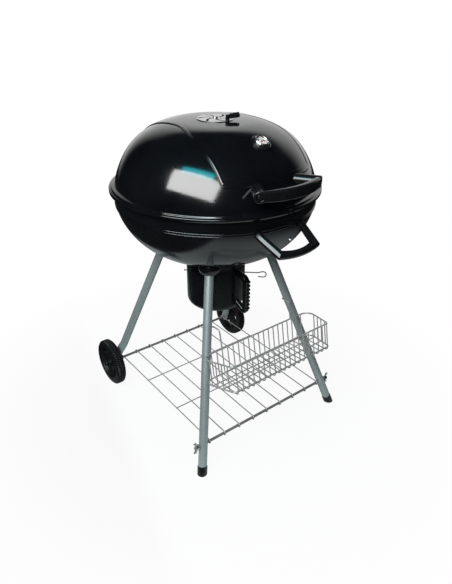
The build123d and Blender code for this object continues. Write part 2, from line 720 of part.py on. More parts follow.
# Grates: a flat band ring crossed by straight bars and two stiffening bars.
GRATE_Z = BRACKET_TOP + GRATE_WIRE + 0.2
with BuildPart() as cooking_grate:
    with BuildSketch(Plane.XY.offset(GRATE_Z - GRATE_WIRE)):
        Circle(GRATE_R)
        Circle(GRATE_R - 4, mode=Mode.SUBTRACT)
    extrude(amount=2 * GRATE_WIRE)
    for k in range(GRATE_BARS):
        bar_x = (GRATE_R - 2) * (2 * (k + 1) / (GRATE_BARS + 1) - 1)
        bar_half = math.sqrt((GRATE_R - 2) ** 2 - bar_x**2)
        with BuildSketch(Plane((bar_x, -bar_half, GRATE_Z), z_dir=(0, 1, 0))):
            Circle(GRATE_WIRE - 1)
        extrude(amount=2 * bar_half)
    for bar_y in (-0.5 * GRATE_R, 0.5 * GRATE_R):
        bar_half = math.sqrt((GRATE_R - 2) ** 2 - bar_y**2)
        with BuildSketch(Plane((-bar_half, bar_y, GRATE_Z + 1), z_dir=(1, 0, 0))):
            Circle(GRATE_WIRE - 1)
        extrude(amount=2 * bar_half)
cooking_grate.part.label = "cooking_grate"
export_step(cooking_grate.part, "parts/cooking_grate.step")

coal_r, coal_rise = arc_point(BOWL_RATIOS, BOWL_TURNS, CHARCOAL_SLOPE, -SHEET - 0.3)
COAL_Z = BOWL_BOTTOM + SHEET + 0.3 + coal_rise
with BuildPart() as charcoal_grate:
    with BuildSketch(Plane.XY.offset(COAL_Z)):
        Circle(coal_r)
        Circle(coal_r - 4, mode=Mode.SUBTRACT)
    extrude(amount=2 * GRATE_WIRE)
    for k in range(CHARCOAL_BARS):
        bar_x = (coal_r - 2) * (2 * (k + 1) / (CHARCOAL_BARS + 1) - 1)
        bar_half = math.sqrt((coal_r - 2) ** 2 - bar_x**2)
        with BuildSketch(Plane((bar_x, -bar_half, COAL_Z + GRATE_WIRE), z_dir=(0, 1, 0))):
            Circle(GRATE_WIRE - 0.5)
        extrude(amount=2 * bar_half)
    for bar_y in (-0.5 * coal_r, 0.5 * coal_r):
        bar_half = math.sqrt((coal_r - 2) ** 2 - bar_y**2)
        with BuildSketch(Plane((-bar_half, bar_y, COAL_Z + GRATE_WIRE + 0.5), z_dir=(1, 0, 0))):
            Circle(GRATE_WIRE - 0.5)
        extrude(amount=2 * bar_half)
charcoal_grate.part.label = "charcoal_grate"
export_step(charcoal_grate.part, "parts/charcoal_grate.step")

# Front legs: tubes with a rod hole near the floor and a hook hole in the inner wall.
HOOK_Y = -(LEG_Y - LEAN_Y * HOOK_Z)
with BuildPart() as leg_front_left:
    with BuildSketch(leg_plane(-1, -1, LEG_LOW)):
        Circle(LEG_R)
        Circle(LEG_R - LEG_WALL, mode=Mode.SUBTRACT)
    extrude(amount=(LEG_TOP - LEG_LOW) * LEG_STEEP)
    with BuildSketch(Plane((-ROD_X, -AXLE_Y, WHEEL_R), z_dir=(1, 0, 0))):
        Circle(ROD_R + FIT)
    extrude(amount=30, both=True, mode=Mode.SUBTRACT)
    with BuildSketch(Plane((-LEG_X + LEAN_X * HOOK_Z, HOOK_Y, HOOK_Z), z_dir=(1, 0, 0))):
        Circle(HOOK_WIRE + FIT)
    extrude(amount=30, mode=Mode.SUBTRACT)
leg_front_left.part.label = "leg_front_left"
export_step(leg_front_left.part, "parts/leg_front_left.step")

with BuildPart() as leg_front_right:
    mirror(leg_front_left.part, about=Plane.YZ)
leg_front_right.part.label = "leg_front_right"
export_step(leg_front_right.part, "parts/leg_front_right.step")

# Back legs: tubes pressed flat into an upright tab that carries the axle.
CRIMP_Z = WHEEL_R + 72
NECK_Z = WHEEL_R + 28
tab_run = Vector(0, -LEAN_Y, 1).normalized()
TAB_TOP = Plane((-AXLE_X, AXLE_Y - LEAN_Y * 28, NECK_Z), x_dir=(1, 0, 0), z_dir=tab_run)
with BuildPart() as leg_back_left:
    with BuildSketch(TAB_TOP):
        Rectangle(TAB_T, TAB_W)
    with BuildSketch(leg_plane(-1, 1, CRIMP_Z)):
        Circle(LEG_R)
    loft()
    with BuildSketch(Plane((-AXLE_X - TAB_T / 2, AXLE_Y, WHEEL_R), x_dir=tab_run, z_dir=(1, 0, 0))):
        with Locations((15, 0)):
            SlotCenterToCenter(30, TAB_W)
    extrude(amount=TAB_T)
    with BuildSketch(leg_plane(-1, 1, CRIMP_Z)):
        Circle(LEG_R)
    extrude(amount=(LEG_TOP - CRIMP_Z) * LEG_STEEP)
    with BuildSketch(leg_plane(-1, 1, CRIMP_Z + 10)):
        Circle(LEG_R - LEG_WALL)
    extrude(amount=LEG_TOP * LEG_STEEP, mode=Mode.SUBTRACT)
    with BuildSketch(Plane((-AXLE_X, AXLE_Y, WHEEL_R), z_dir=(1, 0, 0))):
        Circle(ROD_R + FIT)
    extrude(amount=30, both=True, mode=Mode.SUBTRACT)
leg_back_left.part.label = "leg_back_left"
export_step(leg_back_left.part, "parts/leg_back_left.step")

with BuildPart() as leg_back_right:
    mirror(leg_back_left.part, about=Plane.YZ)
leg_back_right.part.label = "leg_back_right"
export_step(leg_back_right.part, "parts/leg_back_right.step")

# Leg sockets: flared plastic cups between the bowl and the leg tops.
SOCKET_Z = LEG_MEET - SOCKET_H
BORE = (LEG_TOP - SOCKET_Z) * LEG_STEEP
with BuildPart() as leg_socket_front_left:
    with BuildSketch(leg_section(-1, -1, SOCKET_Z)):
        with BuildLine():
            hole = BOLT_R + 0.1
            bore = LEG_R + FIT
            Polyline((hole, SOCKET_H + 22), (hole, BORE), (bore, BORE), (bore, 0), (LEG_R + 3, 0))
            ThreePointArc((LEG_R + 3, 0), (SOCKET_R - 5, SOCKET_H * 0.45), (SOCKET_R, SOCKET_H))
            Polyline((SOCKET_R, SOCKET_H), (SOCKET_R, SOCKET_H + 22), (hole, SOCKET_H + 22))
        make_face()
    revolve(axis=Axis(leg_point(-1, -1, SOCKET_Z), leg_plane(-1, -1, SOCKET_Z).z_dir))
    add(bowl_solid.part, mode=Mode.SUBTRACT)
leg_socket_front_left.part.label = "leg_socket_front_left"
export_step(leg_socket_front_left.part, "parts/leg_socket_front_left.step")

with BuildPart() as leg_socket_front_right:
    mirror(leg_socket_front_left.part, about=Plane.YZ)
leg_socket_front_right.part.label = "leg_socket_front_right"
export_step(leg_socket_front_right.part, "parts/leg_socket_front_right.step")

with BuildPart() as leg_socket_back_left:
    mirror(leg_socket_front_left.part, about=Plane.XZ)
leg_socket_back_left.part.label = "leg_socket_back_left"
export_step(leg_socket_back_left.part, "parts/leg_socket_back_left.step")

with BuildPart() as leg_socket_back_right:
    mirror(leg_socket_front_right.part, about=Plane.XZ)
leg_socket_back_right.part.label = "leg_socket_back_right"
export_step(leg_socket_back_right.part, "parts/leg_socket_back_right.step")

with BuildPart() as leg_inserts:
    with BuildSketch(*[leg_plane(sx, sy, LEG_TOP - 14) for sx, sy in LEG_SIGNS]):
        Circle(LEG_R - LEG_WALL - 0.05)
        Circle(BOLT_R + FIT, mode=Mode.SUBTRACT)
    extrude(amount=13 * LEG_STEEP)
leg_inserts.part.label = "leg_inserts"
export_step(leg_inserts.part, "parts/leg_inserts.step")

with BuildPart() as leg_bolts:
    with BuildSketch(*LEG_BOLTS):
        Circle(6.5)
    extrude(amount=6)
    add(bowl_hollow.part, mode=Mode.INTERSECT)
    with BuildSketch(*LEG_BOLTS):
        Circle(BOLT_R)
    extrude(amount=5)
    with BuildSketch(*LEG_BOLTS):
        Circle(BOLT_R)
    extrude(amount=-22)
leg_bolts.part.label = "leg_bolts"
export_step(leg_bolts.part, "parts/leg_bolts.step")

with BuildPart() as foot_cap_left:
    with BuildSketch(leg_plane(-1, -1, -8)):
        Circle(CAP_R)
    extrude(amount=(CAP_TOP + 8) * LEG_STEEP)
    with BuildSketch(leg_plane(-1, -1, LEG_LOW)):
        Circle(LEG_R + FIT)
    extrude(amount=60, mode=Mode.SUBTRACT)
    with BuildSketch(Plane.XY):
        with Locations((-LEG_X, -LEG_Y)):
            Circle(60)
    extrude(amount=-40, mode=Mode.SUBTRACT)
foot_cap_left.part.label = "foot_cap_left"
export_step(foot_cap_left.part, "parts/foot_cap_left.step")

with BuildPart() as foot_cap_right:
    mirror(foot_cap_left.part, about=Plane.YZ)
foot_cap_right.part.label = "foot_cap_right"
export_step(foot_cap_right.part, "parts/foot_cap_right.step")

# Wheels: a block-treaded tyre on a spoked hub, running on the axle.
HUB_IN = AXLE_X + TAB_T / 2 + 0.5
HUB_OUT = HUB_IN + WHEEL_W + 8
TYRE_IN = HUB_IN + 7
AXLE_END = HUB_OUT + 6


def wheel_plane(x):
    """Plane across the axle of the right wheel at this X, facing outwards."""
    return Plane((x, AXLE_Y, WHEEL_R), x_dir=(0, 1, 0), z_dir=(1, 0, 0))


with BuildPart() as wheel_right_tyre:
    with BuildSketch(wheel_plane(TYRE_IN)):
        Circle(WHEEL_R)
    extrude(amount=WHEEL_W)
    chamfer(edges().filter_by(GeomType.CIRCLE), 5)
    with BuildSketch(wheel_plane(TYRE_IN)):
        Circle(RIM_R)
    extrude(amount=WHEEL_W, mode=Mode.SUBTRACT)
    with BuildSketch(wheel_plane(TYRE_IN)):
        with PolarLocations(WHEEL_R, TREADS):
            Rectangle(5, 5)
    extrude(amount=WHEEL_W * 0.36, mode=Mode.SUBTRACT)
    with BuildSketch(wheel_plane(TYRE_IN + WHEEL_W)):
        with PolarLocations(WHEEL_R, TREADS, start_angle=180 / TREADS):
            Rectangle(5, 5)
    extrude(amount=-WHEEL_W * 0.36, mode=Mode.SUBTRACT)
wheel_right_tyre.part.label = "wheel_right_tyre"
export_step(wheel_right_tyre.part, "parts/wheel_right_tyre.step")

with BuildPart() as wheel_right_hub:
    with BuildSketch(wheel_plane(TYRE_IN + 1)):
        Circle(RIM_R - 0.05)
        Circle(RIM_R - 5, mode=Mode.SUBTRACT)
    extrude(amount=WHEEL_W - 2)
    with BuildSketch(wheel_plane(TYRE_IN + WHEEL_W * 0.35)):
        Circle(RIM_R - 3)
        Circle(RIM_R - 9, mode=Mode.SUBTRACT)
        Circle(19)
        with PolarLocations(0, SPOKES, start_angle=5):
            Rectangle(RIM_R - 4, 15, align=(Align.MIN, Align.CENTER))
    extrude(amount=WHEEL_W * 0.3)
    with BuildSketch(wheel_plane(HUB_IN)):
        Circle(13)
    extrude(amount=HUB_OUT - HUB_IN)
    with BuildSketch(wheel_plane(HUB_IN)):
        Circle(ROD_R + FIT)
    extrude(amount=60, mode=Mode.SUBTRACT)
wheel_right_hub.part.label = "wheel_right_hub"
export_step(wheel_right_hub.part, "parts/wheel_right_hub.step")

with BuildPart() as wheel_left_tyre:
    mirror(wheel_right_tyre.part, about=Plane.YZ)
wheel_left_tyre.part.label = "wheel_left_tyre"
export_step(wheel_left_tyre.part, "parts/wheel_left_tyre.step")

with BuildPart() as wheel_left_hub:
    mirror(wheel_right_hub.part, about=Plane.YZ)
wheel_left_hub.part.label = "wheel_left_hub"
export_step(wheel_left_hub.part, "parts/wheel_left_hub.step")

with BuildPart() as axle:
    with BuildSketch(wheel_plane(-AXLE_END)):
        Circle(ROD_R)
    extrude(amount=2 * AXLE_END)
axle.part.label = "axle"
export_step(axle.part, "parts/axle.step")

with BuildPart() as axle_caps:
    with BuildSketch(wheel_plane(HUB_OUT + 0.5)):
        Circle(9)
    extrude(amount=9)
    fillet(edges().group_by(Axis.X)[-1], 4)
    with BuildSketch(wheel_plane(HUB_OUT)):
        Circle(ROD_R + 0.02)
    extrude(amount=6.05, mode=Mode.SUBTRACT)
    mirror(about=Plane.YZ)
axle_caps.part.label = "axle_caps"
export_step(axle_caps.part, "parts/axle_caps.step")

# Shelf: front rod with wing nuts, and a wire rack hooked over the rod and the axle.
ROD_LINE = Plane((0, -AXLE_Y, WHEEL_R), x_dir=(0, 1, 0), z_dir=(1, 0, 0))
WASHER_X = ROD_X + LEG_R * math.sqrt(1 + LEAN_X**2) + 8 * LEAN_X + 0.3
ROD_END = WASHER_X + 14
with BuildPart() as front_rod:
    with BuildSketch(ROD_LINE.offset(-ROD_END)):
        Circle(ROD_R)
    extrude(amount=2 * ROD_END)
front_rod.part.label = "front_rod"
export_step(front_rod.part, "parts/front_rod.step")

with BuildPart() as rod_washers:
    with BuildSketch(ROD_LINE.offset(WASHER_X)):
        Circle(8)
        Circle(ROD_R + FIT, mode=Mode.SUBTRACT)
    extrude(amount=1.6)
    mirror(about=Plane.YZ)
rod_washers.part.label = "rod_washers"
export_step(rod_washers.part, "parts/rod_washers.step")

with BuildPart() as wing_nuts:
    with BuildSketch(ROD_LINE.offset(WASHER_X + 1.7)):
        Circle(7)
    extrude(amount=8)
    with BuildSketch(Plane((0, -AXLE_Y - 1.5, WHEEL_R), x_dir=(1, 0, 0), z_dir=(0, 1, 0))):
        with BuildLine():
            near = WASHER_X + 3
            Polyline((near, 5), (near + 6, 5), (near + 14, 17), (near + 6, 19), (near, 5))
        make_face()
        with BuildLine():
            Polyline((near, -5), (near + 6, -5), (near + 14, -17), (near + 6, -19), (near, -5))
        make_face()
    extrude(amount=3)
    with BuildSketch(ROD_LINE.offset(WASHER_X)):
        Circle(ROD_R + FIT)
    extrude(amount=30, mode=Mode.SUBTRACT)
    mirror(about=Plane.YZ)
wing_nuts.part.label = "wing_nuts"
export_step(wing_nuts.part, "parts/wing_nuts.step")

HOOK_BEND = ROD_R + SHELF_WIRE + 0.2
SHELF_Z = WHEEL_R + HOOK_BEND
HOOK_TURN = 190.0
with BuildPart() as shelf_rack:
    for k in range(SHELF_WIRES):
        wire_x = SHELF_HALF * (2 * k / (SHELF_WIRES - 1) - 1)
        with BuildLine(Plane((wire_x, 0, 0), x_dir=(0, 1, 0), z_dir=(1, 0, 0))) as shelf_line:
            Line((-AXLE_Y, SHELF_Z), (AXLE_Y, SHELF_Z))
            JernArc((AXLE_Y, SHELF_Z), (1, 0), HOOK_BEND, -HOOK_TURN)
            JernArc((-AXLE_Y, SHELF_Z), (-1, 0), HOOK_BEND, HOOK_TURN)
        with BuildSketch(Plane((wire_x, 0, SHELF_Z), z_dir=(0, 1, 0))):
            Circle(SHELF_WIRE)
        sweep(path=shelf_line.wires()[0])
    for bar_y in (-AXLE_Y / 3, AXLE_Y / 3):
        with BuildSketch(Plane((-SHELF_HALF, bar_y, SHELF_Z - 2.8), z_dir=(1, 0, 0))):
            Circle(SHELF_WIRE)
        extrude(amount=2 * SHELF_HALF)
shelf_rack.part.label = "shelf_rack"
export_step(shelf_rack.part, "parts/shelf_rack.step")

# Ash bucket with two open notches in its rim for the damper rod.
ash_turn = radial(ASH_HANDLE_AT)
ASH_RIVETS = []
for rivet_z in (BUCKET_TOP - 14, BUCKET_BOTTOM + 27):
    rivet_spot = ash_turn.from_local_coords(Vector(BUCKET_R, rivet_z, 0))
    ASH_RIVETS.append(Plane(rivet_spot, x_dir=(0, 0, 1), z_dir=ash_turn.x_dir))

with BuildPart() as ash_bucket:
    with BuildSketch(Plane.XZ):
        with BuildLine():
            edge = BUCKET_EDGE
            flat = BUCKET_R - edge
            inner = BUCKET_R - SHEET
            Line((0, BUCKET_BOTTOM), (flat, BUCKET_BOTTOM))
            JernArc((flat, BUCKET_BOTTOM), (1, 0), edge, 90)
            Polyline((BUCKET_R, BUCKET_BOTTOM + edge), (BUCKET_R, BUCKET_TOP), (inner, BUCKET_TOP))
            Line((inner, BUCKET_TOP), (inner, BUCKET_BOTTOM + edge))
            JernArc((flat, BUCKET_BOTTOM + SHEET), (1, 0), edge - SHEET, 90)
            Polyline((flat, BUCKET_BOTTOM + SHEET), (0, BUCKET_BOTTOM + SHEET), (0, BUCKET_BOTTOM))
        make_face()
        with Locations((BUCKET_R + 0.4, BUCKET_TOP - 1.8)):
            Circle(1.8)
    revolve(axis=KETTLE_AXIS)
    with BuildSketch(DAMPER_LINE):
        Circle(4.5)
        Rectangle(40, 9, align=(Align.MIN, Align.CENTER))
    extrude(amount=110, both=True, mode=Mode.SUBTRACT)
    with BuildSketch(*ASH_RIVETS):
        Circle(BOLT_R + FIT)
    extrude(amount=6, both=True, mode=Mode.SUBTRACT)
ash_bucket.part.label = "ash_bucket"
export_step(ash_bucket.part, "parts/ash_bucket.step")

# Bucket handle: a closed D with a beaded grip, riveted to the wall.
with BuildPart() as ash_handle:
    with BuildSketch(radial(ASH_HANDLE_AT).offset(-ASH_HANDLE_T / 2)):
        with BuildLine():
            outer = ASH_HANDLE_R
            low = BUCKET_BOTTOM - 2
            high = BUCKET_TOP - 6
            Polyline(
                (BUCKET_R - 12, high),
                (outer - 12, high),
                (outer, high - 12),
                (outer, low + 12),
                (outer - 10, low),
                (outer - 18, low),
                (BUCKET_R - 12, low + 22),
                (BUCKET_R - 12, high),
            )
        make_face()
        with BuildLine():
            Polyline(
                (BUCKET_R, high - 17),
                (outer - 22, high - 17),
                (outer - 16, high - 23),
                (outer - 16, low + 22),
                (outer - 20, low + 18),
                (BUCKET_R, low + 36),
                (BUCKET_R, high - 17),
            )
        make_face(mode=Mode.SUBTRACT)
        for k in range(8):
            bead_z = low + 18 + k * (high - low - 36) / 7
            with Locations((outer - 1.5, bead_z)):
                Circle(4.4)
    extrude(amount=ASH_HANDLE_T)
    with BuildSketch(Plane.XY.offset(BUCKET_BOTTOM - 20)):
        Circle(BUCKET_R)
    extrude(amount=180, mode=Mode.SUBTRACT)
    with BuildSketch(*ASH_RIVETS):
        Circle(BOLT_R + FIT)
    extrude(amount=9, both=True, mode=Mode.SUBTRACT)
ash_handle.part.label = "ash_handle"
export_step(ash_handle.part, "parts/ash_handle.step")

with BuildPart() as ash_handle_rivets:
    with BuildSketch(*[plane.offset(-SHEET - 2.2) for plane in ASH_RIVETS]):
        Circle(5)
    extrude(amount=2)
    with BuildSketch(*[plane.offset(-SHEET - 1) for plane in ASH_RIVETS]):
        Circle(BOLT_R)
    extrude(amount=9)
ash_handle_rivets.part.label = "ash_handle_rivets"
export_step(ash_handle_rivets.part, "parts/ash_handle_rivets.step")

# Damper: a plate in the collar on a rod that ends in a finger loop.
ROD_OUT = 122.0
LOOP_R = 9.0
CLIMB = 15.0
LOOP_TURN = 200.0
climb = math.radians(CLIMB)
turned_back = math.radians(CLIMB - LOOP_TURN)
ax = ROD_OUT + 30 * math.sin(climb)
az = DAMPER_Z + 30 * (1 - math.cos(climb))
bx = ax + 10 * math.cos(climb)
bz = az + 10 * math.sin(climb)
cx = bx + LOOP_R * (math.sin(climb) - math.sin(turned_back))
cz = bz + LOOP_R * (math.cos(turned_back) - math.cos(climb))
dx = cx + 14 * math.cos(turned_back)
dz = cz + 14 * math.sin(turned_back)
with BuildPart() as damper_rod:
    with BuildLine(DAMPER) as damper_line:
        Line((-94, DAMPER_Z), (ROD_OUT, DAMPER_Z))
        JernArc((ROD_OUT, DAMPER_Z), (1, 0), 30, CLIMB)
        Line((ax, az), (bx, bz))
        JernArc((bx, bz), (math.cos(climb), math.sin(climb)), LOOP_R, -LOOP_TURN)
        Line((cx, cz), (dx, dz))
    with BuildSketch(DAMPER_LINE.offset(-94)):
        Circle(DAMPER_WIRE)
    sweep(path=damper_line.wires()[0])
    with BuildSketch(DAMPER_LINE.offset(-96)):
        Circle(DAMPER_WIRE + 1.2)
    extrude(amount=3)
damper_rod.part.label = "damper_rod"
export_step(damper_rod.part, "parts/damper_rod.step")

with BuildPart() as damper_plate:
    with BuildSketch(Plane.XY.offset(DAMPER_Z - 0.6)):
        Circle(DAMPER_PLATE_R)
    extrude(amount=1.2)
    with BuildSketch(DAMPER_LINE):
        Circle(DAMPER_WIRE + 1.6)
    extrude(amount=DAMPER_PLATE_R - 4, both=True)
    with BuildSketch(DAMPER_LINE):
        Circle(DAMPER_WIRE + 0.04)
    extrude(amount=100, both=True, mode=Mode.SUBTRACT)
damper_plate.part.label = "damper_plate"
export_step(damper_plate.part, "parts/damper_plate.step")

# Basket: rails, cross wires bent to a U, end wires and two hooks, all welded.
tilt = math.radians(BASKET_TILT)
rest_z = BASKET_Z - BASKET_H * math.cos(tilt)
rest_y = LEG_Y - LEAN_Y * rest_z + LEG_R * math.sqrt(1 + LEAN_Y**2) + BASKET_RAIL + 0.5
BASKET_Y = BASKET_H * math.sin(tilt) - rest_y
BASKET_TOP = Plane((0, BASKET_Y, BASKET_Z), x_dir=(1, 0, 0), z_dir=(0, math.sin(tilt), math.cos(tilt)))
side_run = (BASKET_BACK - BASKET_FRONT) / BASKET_DEPTH


def basket_point(x, back, up):
    """Point of the basket from X, the distance in front of the back rail and the height from the top."""
    return BASKET_TOP.from_local_coords(Vector(x, -back, up))


with BuildPart() as basket:
    for drop in (0, BASKET_H):
        with BuildLine(BASKET_TOP.offset(-drop)) as rail_line:
            Polyline(
                (0, 0),
                (BASKET_BACK - 30, 0),
                (BASKET_BACK - 11, -8),
                (BASKET_BACK - 28 * side_run, -28),
                (BASKET_FRONT, -BASKET_DEPTH),
                (0, -BASKET_DEPTH),
            )
        with BuildSketch(Plane(basket_point(0, 0, -drop), z_dir=(1, 0, 0))):
            Circle(BASKET_RAIL)
        sweep(path=rail_line.wires()[0], transition=Transition.RIGHT)
    for back in (0.3, 0.48, 0.66, 0.84):
        reach = back * BASKET_DEPTH
        side_x = BASKET_BACK - reach * side_run
        with BuildSketch(Plane(basket_point(side_x, reach, -BASKET_H), z_dir=BASKET_TOP.z_dir)):
            Circle(BASKET_WIRE)
        extrude(amount=BASKET_H)
    mirror(about=Plane.YZ)
    for back in (0.3, 0.62):
        reach = back * BASKET_DEPTH
        half = BASKET_BACK - reach * side_run
        with BuildSketch(Plane(basket_point(-half, reach, -BASKET_H - 0.5), z_dir=(1, 0, 0))):
            Circle(BASKET_WIRE)
        extrude(amount=2 * half)
    for k in range(BASKET_CROSS):
        wire_x = (BASKET_FRONT - 8) * (2 * k / (BASKET_CROSS - 1) - 1)
        with BuildLine() as cross_line:
            Polyline(
                basket_point(wire_x, BASKET_DEPTH + 2.8, 1),
                basket_point(wire_x, BASKET_DEPTH + 2.8, -BASKET_H - 9),
                basket_point(wire_x, 10, -BASKET_H + 0.6),
                basket_point(wire_x, 2.6, -BASKET_H + 7),
                basket_point(wire_x, 2.6, 1),
            )
        with BuildSketch(Plane(basket_point(wire_x, BASKET_DEPTH + 2.8, 1), z_dir=-BASKET_TOP.z_dir)):
            Circle(BASKET_WIRE)
        sweep(path=cross_line.wires()[0], transition=Transition.RIGHT)
    for side in (-1, 1):
        with BuildLine() as hook_line:
            hook_low = Vector(side * HOOK_X, BASKET_Y, BASKET_Z)
            hook_knee = Vector(side * HOOK_X, HOOK_Y - 28, HOOK_Z + 2)
            Polyline(
                hook_low,
                hook_knee,
                (side * HOOK_X, HOOK_Y, HOOK_Z),
                (side * (HOOK_X + 13), HOOK_Y, HOOK_Z),
            )
        with BuildSketch(Plane(hook_low, z_dir=hook_knee - hook_low)):
            Circle(HOOK_WIRE)
        sweep(path=hook_line.wires()[0], transition=Transition.RIGHT)
basket.part.label = "basket"
export_step(basket.part, "parts/basket.step")
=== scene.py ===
"""Kettle charcoal grill: the visible pieces and finishes around the packed solids, in metres."""

import math

import bmesh
import bpy
import numpy as np
from bpy.props import FloatProperty, FloatVectorProperty, IntProperty, PointerProperty
from mathutils import Matrix, Quaternion, Vector


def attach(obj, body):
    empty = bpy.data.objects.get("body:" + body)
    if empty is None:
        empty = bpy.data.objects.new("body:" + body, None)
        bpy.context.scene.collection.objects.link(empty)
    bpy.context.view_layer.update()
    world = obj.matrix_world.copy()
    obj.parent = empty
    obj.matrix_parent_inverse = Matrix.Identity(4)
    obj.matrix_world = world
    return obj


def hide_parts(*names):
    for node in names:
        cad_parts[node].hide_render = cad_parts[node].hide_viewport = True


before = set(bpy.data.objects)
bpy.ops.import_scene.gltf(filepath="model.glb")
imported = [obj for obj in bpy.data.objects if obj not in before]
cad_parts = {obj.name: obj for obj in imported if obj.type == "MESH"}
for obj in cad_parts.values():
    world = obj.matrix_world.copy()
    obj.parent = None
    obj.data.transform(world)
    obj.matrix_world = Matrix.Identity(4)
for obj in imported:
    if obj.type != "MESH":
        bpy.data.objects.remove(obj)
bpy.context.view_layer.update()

bl_info = {
    "name": "Kettle grill",
    "version": (1, 0, 0),
    "blender": (4, 5, 0),
    "location": "View3D > Sidebar > Grill",
    "description": "Makes the visible pieces and finishes of a kettle charcoal grill around its solids",
    "category": "Add Mesh",
}

# Metres in a millimetre, a full turn, two directions and a colour
MM = 0.001
TURN = 2 * math.pi
RIGHT, UP = np.eye(3)[[0, 2]]
WHITE = (1.0, 1.0, 1.0)

# Sizes and places below are in millimetres. The kettle axis is Z and the front is at -Y.
# POLE is the small radius that stands for the axis in a turned profile.
POLE = 0.01

# Kettle: the radius of each tangent arc over the kettle's own, and its turn in degrees
KETTLE_R = 278.5
RIM_Z = 710.0
LID_EDGE = 730.0
LID_RATIOS = (5.510, 0.7784, 0.5838, 0.8292)
LID_TURNS = (3.41, 25.53, 26.03, 22.27)
BOWL_RATIOS = (1.4152, 0.7189, 0.6368)
BOWL_TURNS = (24.72, 36.71, 28.57)
BEAD_SLOPES = (80.2, 78.1)
SHEET = 1.2
EMBOSS = 1.2
RIM_DROP = 6.4
OUTLET_R = 78.6
KETTLE_COLUMNS = 288
PANEL_COLUMNS = 720
KETTLE_MIDDLE = (0, 0, 700)

# Vent, thermometer and handles
DISC_RISE = 1.8
LEVER_AT = math.radians(-80.0)
LEVER_R = 43.0
LEVER_HEAD = math.radians(-15.0)
LEVER_RISE = math.radians(5.0)
THERMO_DEGREES = 28.5
NEEDLE_AT = math.radians(-135.0)
LID_HANDLE_Z = 778.0
POST_FOOT = np.array([64.0, -247.2])
POST_END = np.array([98.0, -298.0])
LOOP_Z = 667.4
LOOP_BASE = 266.0
LOOP_DIP = math.radians(24.3)

# Stand: a leg's middle line meets the floor at LEG_X, LEG_Y and leans in as it rises
LEG_X, LEG_Y = 255.1, 274.6
LEAN_X, LEAN_Y = 0.2838, 0.3077
LEG_R = 12.5
LEG_BORE = 12.56
SOCKET_H = 20.0
WHEEL_R, WHEEL_W = 77.6, 30.0
AXLE_Y = LEG_Y - LEAN_Y * WHEEL_R
AXLE_X = LEG_X - LEAN_X * (WHEEL_R + 14)
TYRE_IN = AXLE_X + 11.0
HUB_IN, HUB_OUT = AXLE_X + 4.0, AXLE_X + 42.0
ROD_R = 4.0
ROD_END = 262.65
SHELF_HALF = 213.0
SHELF_WIRE = 1.75

# Ash catcher and basket
DAMPER_AT = math.radians(-42.0)
DAMPER_Z = 445.0
DAMPER_END = 96.0
ASH_AT = math.radians(-80.0)
BUCKET_R, BUCKET_TOP, BUCKET_BOTTOM = 87.0, 499.0, 348.0
FLANGE_Z = 499.5
BASKET_Z, BASKET_TILT = 326.6, math.radians(10.5)
BASKET_BACK, BASKET_FRONT, BASKET_DEPTH, BASKET_H = 202.0, 175.0, 106.0, 74.0
BASKET_WIRE = 1.6
HOOK_X, HOOK_Y, HOOK_Z = 128.0, -158.289, 378.0

# Camera: its place in metres, its angles in degrees and its focal length in pixels of the picture
CAMERA_AT = (-0.8699, -1.16667, 1.18455)
CAMERA_BEARING, CAMERA_RISE, CAMERA_ROLL = -37.92, 29.15, 0.37
FOCAL_PIXELS, PICTURE_HEIGHT, SENSOR = 542.89, 584, 24.0


def length(name, description, default):
    """Property for a length in metres."""
    return FloatProperty(name=name, description=description, default=default, unit="LENGTH")


def colour(name, description, default):
    """Property for the colour of a finish."""
    return FloatVectorProperty(
        name=name, description=description, default=default, subtype="COLOR", size=3, min=0, max=1)


class GrillSizes(bpy.types.PropertyGroup):
    """Sizes of the visible pieces that the solids leave free."""

    ridge: length("Panel ridge", "Height of the pressed line round the lid panel", 0.0009)
    bead: length("Bowl bead", "Height of the two pressed lines round the bowl", 0.0019)
    tread: length("Tread depth", "Depth of the grooves between the tyre blocks", 0.0024)
    blocks: IntProperty(
        name="Tread blocks", description="Blocks round each shoulder of a tyre", default=60, min=12)
    wire_bend: length("Wire bend", "Radius of the bends in the basket wires", 0.009)
    floor: length("Floor half width", "Half the width of the floor under the grill", 6.0)


class GrillColours(bpy.types.PropertyGroup):
    """Colours of the finishes."""

    enamel: colour("Enamel", "Glossy coat of the lid and the bowl", (0.0022, 0.0026, 0.0034))
    leg: colour("Leg paint", "Hammered grey paint of the legs", (0.31, 0.36, 0.36))
    plastic: colour("Plastic", "Black moulded grips, sockets and caps", (0.0045, 0.0048, 0.0052))
    tyre: colour("Tyre", "Black moulded wheels", (0.005, 0.0055, 0.006))
    wire: colour("Wire", "Plated steel wire of the shelf and the basket", (0.37, 0.365, 0.355))
    plated: colour("Plated steel", "Bolts, nuts, rivets and the bezel", (0.62, 0.62, 0.61))
    aluminium: colour("Aluminium", "Vent disc", (0.68, 0.68, 0.67))


def unit(vectors):
    """Vectors divided by their own lengths."""
    vectors = np.asarray(vectors, float)
    return vectors / np.linalg.norm(vectors, axis=-1, keepdims=True)


def polar(angles):
    """Unit vectors of a plane at these angles."""
    return np.stack([np.cos(angles), np.sin(angles)], -1)


def level(angle):
    """Level unit vector at an angle about the kettle axis."""
    return np.append(polar(angle), 0.0)


def round_turn(count):
    """Angles spaced evenly round a full turn."""
    return np.linspace(0, TURN, count, endpoint=False)


def ring(radius, sides):
    """Outline of a circle."""
    return radius * polar(round_turn(sides))


def arc(centre, radius, start, end, count):
    """Points of a plane along a circle from one angle to another."""
    return np.asarray(centre) + radius * polar(np.linspace(start, end, count))


def ease(share):
    """Share from 0 to 1 with a slow start and a slow end."""
    share = np.clip(share, 0, 1)
    return share**2 * (3 - 2 * share)


